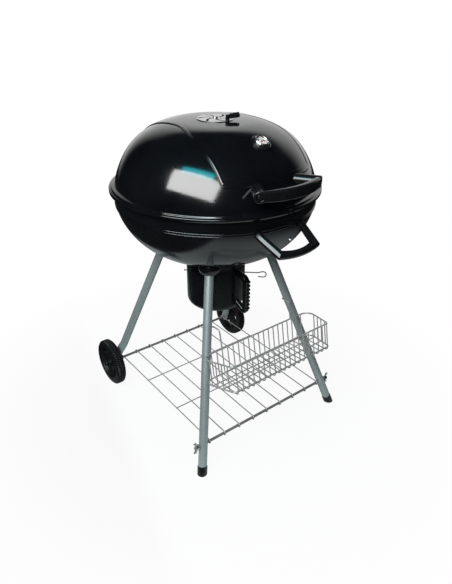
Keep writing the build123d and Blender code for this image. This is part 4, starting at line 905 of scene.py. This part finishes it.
class GRILL_OT_bowl(bpy.types.Operator):
    """Bowl: tangent arcs from the ash outlet to a rolled rim, with two pressed beads"""

    bl_idname = "grill.bowl"
    bl_label = "Bowl"

    def execute(self, context):
        bead = context.scene.grill_sizes.bead / MM
        start = np.interp(OUTLET_R, BOWL_R, BOWL_SLOPES)
        slopes = np.unique(np.concatenate(
            [np.linspace(start, 90, 90)] + [np.linspace(s - 1.1, s + 1.1, 23) for s in BEAD_SLOPES]))
        r, rise = arc_chain(BOWL_RATIOS, BOWL_TURNS, slopes)
        reach = np.radians(slopes[:, None] - np.array(BEAD_SLOPES)) * BOWL_RATIOS[2] * KETTLE_R
        swell = (bead * np.sqrt(np.clip(1 - (reach / 1.75) ** 2, 0, 1))).sum(1)
        a = np.radians(slopes)
        outer = np.stack([r + swell * np.sin(a), BOWL_BOTTOM + rise - swell * np.cos(a)], -1)
        rim = LID_EDGE - RIM_DROP
        wall = np.linspace((BOWL_R[-1], RIM_Z + 2), (BOWL_R[-1], rim - 4), 4)
        roll = arc((BOWL_R[-1] + 1, rim), 3.0, -2.0, 4.1, 26)
        r, rise = arc_chain(BOWL_RATIOS, BOWL_TURNS, np.linspace(90, start, 60), -SHEET)
        inner = np.stack([r, BOWL_BOTTOM + SHEET + rise], -1)
        inner[-1, 0] = OUTLET_R
        shell = turned(np.concatenate([outer, wall, roll, inner]), KETTLE_COLUMNS, closed=True)
        make_piece("bowl_shell", [shell], enamel(), "grill", "enamel", "bowl", sharp=50)
        return {"FINISHED"}


class GRILL_OT_bowl_handle(bpy.types.Operator):
    """Bowl handle: a bowed loop with bevelled section between two edges, landed on the bowl"""

    bl_idname = "grill.bowl_handle"
    bl_label = "Bowl handle"

    def execute(self, context):
        out = np.array([0.0, -math.cos(LOOP_DIP), -math.sin(LOOP_DIP)])
        origin = np.array([0.0, -LOOP_BASE, LOOP_Z])
        up = np.cross(out, RIGHT)

        def edge(foot, knee, tip, middle, corner):
            """One edge of the loop in its plane: two arms and a parabola between their tips."""
            x = np.linspace(-tip[0], tip[0], 25)
            bow = np.stack([x, middle - (middle - tip[1]) * (x / tip[0]) ** 2], -1)
            arm = np.array([foot, knee])
            line = rounded(np.concatenate([arm * (-1, 1), bow, arm[::-1]]), corner, 5)
            return in_plane(line, origin, RIGHT, out)

        outer = edge((81.0, -2.0), (79.0, 12.0), (68.0, 80.0), 90.5, 5.0)
        inner = edge((60.5, -2.0), (58.8, 12.0), (48.5, 63.0), 73.5, 7.0)
        middle, half = (outer + inner) / 2, (outer - inner) / 2
        # The section spans 10 to each side here and is then stretched between the two edges
        section = rounded(
            [(10, -4.5), (10, 3.0), (4.2, 9), (-5, 9), (-10, 5), (-10, -4.5), (-5.5, -9), (5.5, -9)],
            [2.5, 1.0, 1.0, 1.6, 1.6, 2.5, 2.5, 2.5], 3, closed=True)
        loop = middle[:, None] + section[:, :1] / 10 * half[:, None] + section[:, 1:] * up
        for row, start in ((0, 1), (-1, -2)):
            gap = land(loop[start] + out * 30, -out, 90, outside_bowl)
            loop[row] = loop[start] + out * (30 - gap)[:, None]
        moulded("bowl_handle_loop", [grid_mesh(loop)], "grill", "bowl_handle", sharp=40)
        dress(fastener_steel(), "bowl_handle_bolts")
        return {"FINISHED"}


class GRILL_OT_grates(bpy.types.Operator):
    """Grates: round bars welded into a ring, on three brackets"""

    bl_idname = "grill.grates"
    bl_label = "Grates and brackets"

    def execute(self, context):
        coal_r, coal_rise = (v[0] for v in arc_chain(BOWL_RATIOS, BOWL_TURNS, [45.0], -SHEET - 0.3))
        coal_z = BOWL_BOTTOM + SHEET + 0.3 + coal_rise + 3
        for node, radius, z, bars, thick in (
            ("cooking_grate", 256.0, 671.2, 19, 2.0),
            ("charcoal_grate", coal_r, coal_z, 13, 2.5),
        ):
            rim = radius - 3.0
            hoop = np.insert(ring(rim, 160), 2, z, axis=1)
            meshes = [wire(hoop, 2.95, UP, 12, closed=True)]
            for k in range(bars):
                x = (radius - 2) * (2 * (k + 1) / (bars + 1) - 1)
                half = math.sqrt(rim**2 - x**2)
                meshes.append(rod((x, -half, z), (x, half, z), thick, 10))
            for y in (-0.5 * radius, 0.5 * radius):
                half = math.sqrt(rim**2 - y**2)
                meshes.append(rod((-half, y, z + 0.8), (half, y, z + 0.8), thick, 10))
            make_piece(f"{node}_bars", meshes, grate_steel(), "grill", "grate_steel", node)
        dress(grate_steel(), "grate_bracket_front", "grate_bracket_right", "grate_bracket_left")
        dress(fastener_steel(), "bracket_rivets", "leg_bolts", "lid_handle_nuts")
        return {"FINISHED"}


class GRILL_OT_ash_catcher(bpy.types.Operator):
    """Ash catcher: collar, notched bucket, beaded D handle and the damper rod"""

    bl_idname = "grill.ash_catcher"
    bl_label = "Ash catcher"

    def execute(self, context):
        self.collar()
        self.bucket()
        self.handle()
        self.damper()
        return {"FINISHED"}

    def collar(self):
        """Tube under the ash outlet, with a flange over the bucket's rim."""
        top = float(np.interp(OUTLET_R + 0.7, BOWL_R, BOWL_Z)) + 0.4
        collar = rounded(
            [(OUTLET_R, top), (OUTLET_R, 432), (80, 432), (80, FLANGE_Z), (92, FLANGE_Z),
             (92, FLANGE_Z + 5), (80, FLANGE_Z + 5), (80, top)],
            [0.5, 0.5, 0.5, 0.5, 2.0, 2.0, 0.5, 0.5], 4, closed=True)
        make_piece(
            "ash_collar_tube", [turned(collar, 128, closed=True)], dark_steel(), "grill", "dark_steel",
            "ash_collar")

    def bucket(self):
        """Round bucket with a rolled rim, and a notch at each side for the damper rod."""
        notch = math.asin(4.5 / BUCKET_R)
        spots = np.array([DAMPER_AT % TURN, (DAMPER_AT + math.pi) % TURN])
        marks = (spots[:, None] + (-notch, 0.0, notch)).ravel()
        angles = round_turn(180)
        clear = np.abs(angles[:, None] - marks).min(1) > 0.02
        angles = np.sort(np.append(angles[clear], marks))
        wall = rounded([(POLE, BUCKET_BOTTOM), (BUCKET_R, BUCKET_BOTTOM), (BUCKET_R, 438.0)], 22.0, 12)
        rise = np.linspace((BUCKET_R, 440.5), (BUCKET_R, BUCKET_TOP - 5), 6)
        lip = arc((BUCKET_R - 0.2, BUCKET_TOP - 1.8), 1.8, -1.2, 3.4, 14)[:9]
        grid = lathe(np.concatenate([wall, rise, lip]), len(angles), angles=angles)
        middle = angles + (np.roll(angles, -1) - angles) % TURN / 2
        cut = np.abs((middle[:, None] - spots + math.pi) % TURN - math.pi).min(1) < notch
        keep = ~(cut & (np.arange(len(grid) - 1) >= len(wall))[:, None])
        make_piece(
            "ash_bucket_shell", [grid_mesh(grid, ends=False, keep=keep)], dark_steel(), "bucket",
            "dark_steel", "ash_bucket", sharp=45, wall=SHEET, outward=(0, 0, 420))

    def handle(self):
        """Handle with a row of beads, and the rivets that hold it."""
        along = level(ASH_AT)
        across = np.cross(UP, along)
        low, high, outer = BUCKET_BOTTOM - 2, BUCKET_TOP - 18, 127.0
        flat = rounded(
            [(84.4, high - 13), (outer - 14, high - 19), (outer - 8, high - 28), (outer - 8, low + 10),
             (outer - 15, low + 8.5), (84.4, low + 28)], [9.0, 9.0, 7.0, 8.0], 7)
        path = in_plane(flat, (0, 0, 0), along, UP)
        meshes = [grid_mesh(sweep(path, soft_box(15.4, 17.8, 4.2, 5), across))]
        bead = rounded([(POLE, -8.8), (4.4, -8.8), (4.4, 8.8), (POLE, 8.8)], 2.6, 5)
        for z in np.linspace(low + 18, high - 30, 8):
            meshes.append(turned(bead, 20, along * (outer - 1.6) + z * UP, across))
        moulded("ash_handle_grip", meshes, "bucket", "ash_handle", sharp=40)
        rivet = rounded([(POLE, 3.0), (2.6, 2.9), (4.4, 1.6), (4.4, 0.0), (POLE, 0.0)], 0.8, 4)
        inside = along * (BUCKET_R - SHEET)
        heads = [turned(rivet, 24, inside + z * UP, -along) for z in (high - 13, low + 28)]
        make_piece(
            "ash_handle_rivet_heads", heads, fastener_steel(), "bucket", "fastener", "ash_handle_rivets")

    def damper(self):
        """Rod through the collar, bent up into a finger loop."""
        radial = level(DAMPER_AT)
        quarter = math.pi / 2
        climb, back = math.radians(15), math.radians(15 - 200)
        bend = arc((122, DAMPER_Z + 30), 30, -quarter, climb - quarter, 8)
        knee = bend[-1] + 10 * polar(climb)
        eye = arc(knee - 9 * polar(climb + quarter), 9, climb + quarter, back + quarter, 28)
        tail = eye[-1] + 14 * polar(back)
        line = np.concatenate([[(-DAMPER_END, DAMPER_Z), (-20, DAMPER_Z)], bend, eye, [tail]])
        path = in_plane(line, (0, 0, 0), radial, UP)
        stop = rounded([(POLE, 0), (2.95, 0), (2.95, 3), (POLE, 3)], 0.8, 3)
        meshes = [wire(path, 1.75, np.cross(UP, radial), 12), turned(stop, 20, path[0], radial)]
        make_piece("damper_rod_wire", meshes, wire_steel(), "damper", "wire", "damper_rod")
        dress(dark_steel(), "damper_plate")


def leg_axis(sx, sy, z):
    """Points on a leg's middle line at heights z."""
    z = np.asarray(z, float)
    return np.stack([sx * (LEG_X - LEAN_X * z), sy * (LEG_Y - LEAN_Y * z), z], -1)


def leg_lean(sx, sy):
    """Unit vector up along a leg's middle line."""
    return unit(np.array([-sx * LEAN_X, -sy * LEAN_Y, 1.0]))


def leg_meet():
    """Height at which the middle line of a leg reaches the bowl."""
    z = np.linspace(500, 640, 4000)
    return float(z[np.argmin(np.abs(outside_bowl(leg_axis(1, 1, z))))])


class GRILL_OT_legs(bpy.types.Operator):
    """Legs: round tubes, the back pair pressed flat round the axle, with sockets and foot caps"""

    bl_idname = "grill.legs"
    bl_label = "Legs, sockets and caps"

    def execute(self, context):
        meet = leg_meet()
        tubes = {"front": self.round_tube(meet - 8), "back": self.pressed_tube(meet - 8)}
        for end, tube in tubes.items():
            for side, mesh in (("left", tube), ("right", mirrored(tube))):
                name = f"leg_{end}_{side}"
                make_piece(f"{name}_tube", [mesh], leg_paint(), "grill", "leg_paint", name)
        for end, sy in (("front", -1), ("back", 1)):
            for side, sx in (("left", -1), ("right", 1)):
                name = f"leg_socket_{end}_{side}"
                moulded(f"{name}_cup", [self.socket(sx, sy, meet)], "grill", name, sharp=40)
        foot = self.foot_cap()
        for side, mesh in (("left", foot), ("right", mirrored(foot))):
            moulded(f"foot_cap_{side}_cup", [mesh], "grill", f"foot_cap_{side}")
        dress(plastic(), "leg_inserts")
        return {"FINISHED"}

    def round_tube(self, top):
        """Left front leg up to the height top."""
        return grid_mesh(sweep(leg_axis(-1, -1, np.linspace(11, top, 60)), ring(LEG_R, 40), RIGHT))

    def pressed_tube(self, top):
        """Left back leg: flat with a round tip at the axle, then easing into the round tube."""
        tip = WHEEL_R - 15 * 0.955
        z = np.concatenate([
            tip + 14.5 * (1 - np.cos(np.linspace(0.12, math.pi / 2, 14))),
            np.linspace(WHEEL_R + 4, WHEEL_R + 28, 6), np.linspace(WHEEL_R + 32, WHEEL_R + 72, 16),
            np.linspace(WHEEL_R + 76, top, 40)])
        press = ease((WHEEL_R + 72 - z) / 44)
        path = leg_axis(-1, 1, z)
        path[:, 0] = path[:, 0] * (1 - press) - AXLE_X * press
        thin = LEG_R * (1 - press) + 3.4 * press
        wide = LEG_R * (1 - press) + 14.9 * press
        fall = np.clip((WHEEL_R - z) / 14.4, 0, 1)
        wide = wide * np.sqrt(np.maximum(1 - fall**2, 0.01))
        power = 1 / (1 + 1.6 * press)[:, None, None]
        circle = ring(1.0, 40)
        squared = np.sign(circle) * np.abs(circle) ** power
        return grid_mesh(sweep(path, squared * np.stack([wide, thin], -1)[:, None], RIGHT))

    def socket(self, sx, sy, meet):
        """Flared cup round the top of a leg, cut off where it reaches the bowl."""
        axis = leg_lean(sx, sy)
        base = leg_axis(sx, sy, meet - SOCKET_H)
        flare = np.linspace(0, 1, 12)
        swell = 15.9 + 13.6 * np.sin(flare * math.pi / 2) ** 0.8
        cup = np.concatenate([
            rounded([(LEG_BORE, 4.0), (LEG_BORE, 0.0), (15.6, 0.0)], 0.6, 3),
            np.stack([swell, 0.6 + (SOCKET_H - 0.6) * flare**1.25], -1),
            [(29.5, SOCKET_H + 8), (29.5, SOCKET_H + 26), (20.0, SOCKET_H + 30), (LEG_BORE, SOCKET_H + 30)]])
        grid = lathe(cup, 64, base, axis)
        height = (grid - base) @ axis
        foot = grid - height[..., None] * axis
        height = np.minimum(height, land(foot, axis, 70, outside_bowl) + 0.3)
        return grid_mesh(foot + height[..., None] * axis, wrap_rows=True)

    def foot_cap(self):
        """Cap of the left front leg, cut level with the floor."""
        axis = leg_lean(-1, -1)
        cap = rounded(
            [(POLE, -6), (14, -6), (14, 21.5), (LEG_BORE, 21.5), (LEG_BORE, 11.5), (POLE, 11.5)],
            [0.1, 1.3, 0.3, 0.5], 4)
        cap = np.concatenate([cap[:7], np.linspace(cap[6], cap[7], 12)[1:-1], cap[7:]])
        grid = lathe(cap, 48, leg_axis(-1, -1, 0.0), axis)
        grid += (np.maximum(0, -grid[..., 2]) / axis[2])[..., None] * axis
        grid[..., 2] = np.maximum(grid[..., 2], 0.0)
        return grid_mesh(grid)


class GRILL_OT_wheels(bpy.types.Operator):
    """Wheels: block-treaded tyres on dished hubs with four spokes, on one axle"""

    bl_idname = "grill.wheels"
    bl_label = "Wheels and axle"

    def execute(self, context):
        axle = np.array([0.0, AXLE_Y, WHEEL_R])
        x0, x1 = TYRE_IN, TYRE_IN + WHEEL_W
        middle = (x0 + x1) / 2
        tyre = self.tyre(context.scene.grill_sizes, axle, x0, middle)
        rim = rounded(
            [(56.9, x0 + 1), (56.9, x1 - 1), (53.5, x1 - 0.4), (52, x1 - 3), (50.0, middle + 4.5),
             (48.2, middle + 4.5), (48.2, middle - 4.5), (50.0, middle - 4.5), (52, x0 + 3),
             (53.5, x0 + 0.4)], 1.2, 3, closed=True)
        boss = rounded(
            [(4.06, HUB_IN), (12.6, HUB_IN), (13, HUB_IN + 6), (26, middle - 4.5), (26, middle + 4.5),
             (13, middle + 6), (12.6, HUB_OUT), (4.06, HUB_OUT)], 1.0, 3, closed=True)
        hub = [turned(rim, 96, axle, RIGHT, closed=True), turned(boss, 64, axle, RIGHT, closed=True)]
        run = np.linspace(16, 51, 12)
        waist = 1 + 0.22 * ((run - 33) / 17) ** 2
        outline = soft_box(33.0, 9.0, 2.2, 3) * np.stack([waist, np.ones_like(waist)], -1)[:, None]

        def spoke(bearing):
            """One spoke of the hub at this bearing about the axle, in degrees."""
            path = axle + middle * RIGHT + run[:, None] * np.insert(polar(math.radians(bearing)), 0, 0.0)
            return grid_mesh(sweep(path, outline, RIGHT))

        for side, flip, first in (("right", lambda mesh: mesh, 50), ("left", mirrored, 5)):
            wheel = f"wheel_{side}"
            spokes = [spoke(first + 90 * k) for k in range(4)]
            make_piece(
                f"{wheel}_tread", [flip(tyre)], tyre_plastic(), wheel, "tread_plastic", f"{wheel}_tyre",
                sharp=30)
            make_piece(
                f"{wheel}_spokes", [flip(mesh) for mesh in hub + spokes], tyre_plastic(), wheel,
                "tread_plastic", f"{wheel}_hub", sharp=40)
        reach = (HUB_OUT + 6) * RIGHT
        bar = rod(axle - reach, axle + reach, ROD_R, 24, 0.6)
        make_piece("axle_bar", [bar], rod_steel(), "grill", "dark_steel", "axle")
        dome = rounded(
            [(4.05, HUB_OUT + 0.5), (9, HUB_OUT + 0.5), (9, HUB_OUT + 5.5), (6, HUB_OUT + 9.2),
             (POLE, HUB_OUT + 9.5), (POLE, HUB_OUT + 6.2), (4.05, HUB_OUT + 6.2)],
            [0.6, 1.6, 3.0, 0.1, 0.1], 4)
        cap = turned(dome, 32, axle, RIGHT, closed=True)
        moulded("axle_cap_domes", [cap, mirrored(cap)], "grill", "axle_caps")
        return {"FINISHED"}

    def tyre(self, sizes, axle, x0, middle):
        """Right tyre: half its section is mirrored, and the two rows of blocks are half a block apart."""
        depth, blocks = sizes.tread / MM, sizes.blocks
        across = np.array([
            (56.95, 2), (57.5, 0.8), (60, 0), (66, 0), (70.5, 0.4), (72.6, 1.4), (74.2, 2.6), (76.0, 4.2),
            (77.2, 6.0), (77.6, 8.5), (77.6, 12.6), (76.6, 13.2), (76.4, 15.0)]) + (0.0, x0)
        across = np.concatenate([across, across[::-1][1:] * (1.0, -1.0) + (0.0, 2 * middle)])
        beat = np.array([0.0, 0.03, 0.30, 0.33, 0.66, 0.97])
        groove = np.array([0.0, 1.0, 1.0, 0.0, 0.0, 0.0])
        angles = ((np.arange(blocks)[:, None] + beat) * TURN / blocks).ravel()
        cut = np.tile(groove, blocks)
        half = np.interp((beat + 0.5) % 1.0, np.append(beat, 1.0), np.append(groove, 0.0))
        half = np.tile(half, blocks)
        shoulder = np.clip((across[:, 0] - 71.0) / 3.5, 0, 1)[:, None]
        left = (across[:, 1] < middle - 1.6)[:, None]
        right = (across[:, 1] > middle + 1.6)[:, None]
        radius = across[:, :1] - depth * shoulder * (left * cut + right * half)
        spokes = np.insert(polar(angles), 0, 0.0, axis=1)
        return grid_mesh(
            axle + radius[..., None] * spokes + across[:, 1][:, None, None] * RIGHT, wrap_rows=True)


class GRILL_OT_shelf(bpy.types.Operator):
    """Shelf: nine wires hooked over the front rod and the axle, two cross wires below them"""

    bl_idname = "grill.shelf"
    bl_label = "Wire shelf"

    def execute(self, context):
        bend = ROD_R + 1.95
        z = WHEEL_R + bend
        hook = arc((AXLE_Y, WHEEL_R), bend, math.pi / 2, math.pi / 2 - math.radians(190), 18)
        run = np.linspace((-AXLE_Y, z), (AXLE_Y, z), 24)[1:-1]
        line = np.concatenate([hook[::-1] * (-1.0, 1.0), run, hook])
        meshes = []
        for x in np.linspace(-SHELF_HALF, SHELF_HALF, 9):
            meshes.append(wire(np.insert(line, 0, x, axis=1), SHELF_WIRE, RIGHT, 10))
        for y in (-AXLE_Y / 3, AXLE_Y / 3):
            meshes.append(rod((-SHELF_HALF - 1, y, z - 2.8), (SHELF_HALF + 1, y, z - 2.8), SHELF_WIRE, 10))
        make_piece("shelf_wires", meshes, wire_steel(), "grill", "wire", "shelf_rack")
        bar = rod((-ROD_END, -AXLE_Y, WHEEL_R), (ROD_END, -AXLE_Y, WHEEL_R), ROD_R, 24, 0.6)
        make_piece("front_rod_bar", [bar], rod_steel(), "grill", "dark_steel", "front_rod")
        dress(fastener_steel(), "wing_nuts", "rod_washers")
        return {"FINISHED"}


class GRILL_OT_basket(bpy.types.Operator):
    """Basket: two bent rails, U wires with rounded bends, end wires, floor wires and two hooks"""

    bl_idname = "grill.basket"
    bl_label = "Wire basket"

    def execute(self, context):
        bend = context.scene.grill_sizes.wire_bend / MM
        c, s = math.cos(BASKET_TILT), math.sin(BASKET_TILT)
        rest_z = BASKET_Z - BASKET_H * c
        rest_y = LEG_Y - LEAN_Y * rest_z + LEG_R * math.sqrt(1 + LEAN_Y**2) + 2.7
        origin = np.array([0.0, BASKET_H * s - rest_y, BASKET_Z])
        axes = np.array([RIGHT, (0.0, -c, s), (0.0, s, c)])
        back, fore, deep = BASKET_BACK, BASKET_FRONT, BASKET_DEPTH
        lean = (back - fore) / deep

        def spot(x, ahead, rise):
            """Points of the basket from X, the distance before the back rail and the height from the top."""
            return origin + np.stack(np.broadcast_arrays(x, ahead, rise), -1) @ axes

        corners = [(-back, 0), (back, 0), (fore, deep), (-fore, deep)]
        loop = rounded(corners, [26.0, 26.0, 9.0, 9.0], 10, closed=True)
        # Midpoints steady the rail's direction where a bend begins
        loop = np.stack([loop, (loop + np.roll(loop, -1, 0)) / 2], 1).reshape(-1, 2)
        meshes = []
        for drop in (0.0, BASKET_H):
            meshes.append(wire(spot(loop[:, 0], loop[:, 1], -drop), 2.2, axes[2], 12, closed=True))
        profile = rounded([(deep + 2.8, 1), (deep + 2.8, -83), (10, -73.4), (2.6, -67), (2.6, 1)], bend, 7)
        for x in np.linspace(8 - fore, fore - 8, 19):
            meshes.append(wire(spot(x, profile[:, 0], profile[:, 1]), BASKET_WIRE, RIGHT, 8))
        for ahead in deep * np.array([0.3, 0.48, 0.66, 0.84]):
            half = back - ahead * lean
            for x in (-half, half):
                meshes.append(rod(spot(x, ahead, -BASKET_H), spot(x, ahead, 0.8), BASKET_WIRE, 8))
        for ahead in deep * np.array([0.3, 0.62]):
            half = back - ahead * lean
            low = -BASKET_H - 0.5
            meshes.append(rod(spot(-half, ahead, low), spot(half, ahead, low), BASKET_WIRE, 8))
        for side in (-1, 1):
            x = side * HOOK_X
            path = rounded(
                [(x, origin[1], origin[2] - 2), (x, HOOK_Y - 28, HOOK_Z + 2), (x, HOOK_Y, HOOK_Z),
                 (x + side * 13, HOOK_Y, HOOK_Z)], [6.0, 3.0], 6)
            meshes.append(wire(path, 2.0, (0.25, 0.3, 0.92), 10))
        make_piece("basket_wires", meshes, wire_steel(), "basket", "wire", "basket")
        return {"FINISHED"}


def lamp(name, bearing, rise, distance, width, height, power, roll, tint=WHITE):
    """Area lamp facing the kettle from a bearing measured from +Y and a rise, rolled about its beam."""
    aim = Vector((0, 0, 0.72))
    b, e = math.radians(bearing), math.radians(rise)
    toward = Vector((math.sin(b) * math.cos(e), math.cos(b) * math.cos(e), math.sin(e)))
    data = bpy.data.lights.new(name, "AREA")
    data.shape = "RECTANGLE"
    data.size, data.size_y = width, height
    data.energy = power
    data.color = tint
    obj = bpy.data.objects.new(name, data)
    obj.location = aim + toward * distance
    turn = toward.to_track_quat("Z", "Y") @ Quaternion(UP, math.radians(roll))
    obj.rotation_euler = turn.to_euler()
    obj.visible_camera = False
    bpy.context.scene.collection.objects.link(obj)


class GRILL_OT_stage(bpy.types.Operator):
    """Stage: pale floor, white surround, soft lamps and the camera"""

    bl_idname = "grill.stage"
    bl_label = "Stage"

    def execute(self, context):
        self.floor(context.scene)
        self.surround(context.scene)
        lamp("window_left", bearing=-116, rise=37, distance=2.6, width=2.5, height=1.20, power=110, roll=-8.0)
        lamp(
            "window_blind", bearing=-117, rise=52.5, distance=2.6, width=1.55, height=0.42, power=14,
            roll=-8.0, tint=(0.03, 0.85, 1.0))
        self.camera(context.scene)
        context.scene.view_settings.view_transform = "Standard"
        return {"FINISHED"}

    def floor(self, scene):
        """Floor nearly white to the camera; to other rays grey near the grill, and dark off to its left."""
        half, z = scene.grill_sizes.floor, -0.0006
        mesh = bpy.data.meshes.new("floor")
        corners = [(-half, -half, z), (half, -half, z), (half, half, z), (-half, half, z)]
        mesh.from_pydata(corners, [], [(0, 1, 2, 3)])
        floor = bpy.data.objects.new("floor", mesh)
        scene.collection.objects.link(floor)
        f = Finish("pale_floor")
        f.nodes.remove(f.shader)
        away = f.measure("LENGTH", f.place)
        glowing = f.spread(away, 0.93, 1.0, 0.35, 0.95)
        # Painted pool of light: the floor that reflections see is grey round the grill and dark further off
        painted_light_pool = f.spread(away, 1.0, 0.0, 0.62, 1.05)
        side = f.measure("DOT_PRODUCT", f.place, (1.0, -0.25, 0.0))
        # Painted shade: the grey is kept only to the right of a line through the grill, and the floor is dark
        # off to its left
        sheet = f.product(painted_light_pool, f.spread(side, 0.0, 1.0, -0.39, -0.32))
        tint = f.ramp(sheet, (0.0, (0.02, 0.02, 0.02)), (1.0, (0.44, 0.46, 0.46)))
        # The floor's diffuse colour carries this painted light and shade
        paint = f.fill(f.add("ShaderNodeBsdfDiffuse"), tint)[0]
        glow = f.fill(f.add("ShaderNodeEmission"), WHITE)[0]
        seen = f.product(f.add("ShaderNodeLightPath").outputs["Is Camera Ray"], glowing)
        look = f.fill(f.add("ShaderNodeMixShader"), seen, paint, glow)[0]
        f.put(f.nodes["Material Output"].inputs["Surface"], look)
        mesh.materials.append(f.material)

    def surround(self, scene):
        """White to the camera, a bright wall behind the grill to reflections, a dim fill to diffuse rays."""
        world = bpy.data.worlds.new("surround")
        world.use_nodes = True
        scene.world = world
        w = Nodes(world.node_tree)
        place = w.add("ShaderNodeTexCoord").outputs["Generated"]
        ray = w.add("ShaderNodeLightPath").outputs
        height = w.parts(place)["Z"]
        facing = w.measure("DOT_PRODUCT", place, (0.766, 0.643, 0.0))
        wall = w.product(*(
            w.spread(source, 0.0, 1.0, start, end, "SMOOTHSTEP")
            for source, start, end in ((facing, 0.56, 0.90), (height, 0.66, 0.50), (height, -0.30, -0.02))))
        through = ray["Is Transmission Ray"]
        shown = w.product(wall, w.math("MAXIMUM", ray["Is Glossy Ray"], through))
        dim = w.product(w.math("MAXIMUM", ray["Is Diffuse Ray"], through), 0.42)
        total = w.math("MAXIMUM", w.math("MAXIMUM", shown, dim), ray["Is Camera Ray"])
        w.fill(w.nodes["Background"], WHITE, total)

    def camera(self, scene):
        """Camera at the solved place, turned by its bearing, rise and roll."""
        camera = bpy.data.cameras.new("camera")
        camera.sensor_fit = "VERTICAL"
        camera.sensor_height = SENSOR
        camera.lens = FOCAL_PIXELS / PICTURE_HEIGHT * SENSOR
        camera.clip_start, camera.clip_end = 0.05, 60.0
        eye = bpy.data.objects.new("camera", camera)
        a, e, roll = (math.radians(angle) for angle in (CAMERA_BEARING, CAMERA_RISE, CAMERA_ROLL))
        behind = Vector((math.sin(a) * math.cos(e), -math.cos(a) * math.cos(e), math.sin(e)))
        right = Vector((math.cos(a), math.sin(a), 0.0))
        above = behind.cross(right)
        across = right * math.cos(roll) + above * math.sin(roll)
        above = above * math.cos(roll) - right * math.sin(roll)
        turn = Matrix((across, above, behind)).transposed().to_4x4()
        eye.matrix_world = Matrix.Translation(CAMERA_AT) @ turn
        scene.collection.objects.link(eye)
        scene.camera = eye


OPERATORS = (
    GRILL_OT_lid, GRILL_OT_lid_handle, GRILL_OT_vent, GRILL_OT_thermometer, GRILL_OT_bowl,
    GRILL_OT_bowl_handle, GRILL_OT_grates, GRILL_OT_ash_catcher, GRILL_OT_legs, GRILL_OT_wheels,
    GRILL_OT_shelf, GRILL_OT_basket, GRILL_OT_stage,
)


class GRILL_PT_panel(bpy.types.Panel):
    """Sizes, colours and the pieces in the order they are made"""

    bl_idname = "GRILL_PT_panel"
    bl_label = "Kettle grill"
    bl_space_type = "VIEW_3D"
    bl_region_type = "UI"
    bl_category = "Grill"

    def draw(self, context):
        for group in (context.scene.grill_sizes, context.scene.grill_colours):
            for name in group.bl_rna.properties.keys():
                if name not in {"rna_type", "name"}:
                    self.layout.prop(group, name)
        for operator in OPERATORS:
            self.layout.operator(operator.bl_idname)


CLASSES = (GrillSizes, GrillColours, *OPERATORS, GRILL_PT_panel)


def register():
    """Registers the classes and hangs the two property groups on the scene."""
    for cls in CLASSES:
        bpy.utils.register_class(cls)
    bpy.types.Scene.grill_sizes = PointerProperty(type=GrillSizes)
    bpy.types.Scene.grill_colours = PointerProperty(type=GrillColours)


def unregister():
    """Takes the property groups and the classes away again."""
    del bpy.types.Scene.grill_colours
    del bpy.types.Scene.grill_sizes
    for cls in reversed(CLASSES):
        bpy.utils.unregister_class(cls)


def main():
    """Makes every piece in order and writes the two boxes for comparison."""
    register()
    for operator in OPERATORS:
        group, name = operator.bl_idname.split(".")
        getattr(getattr(bpy.ops, group), name)()


if __name__ == "__main__":
    main()
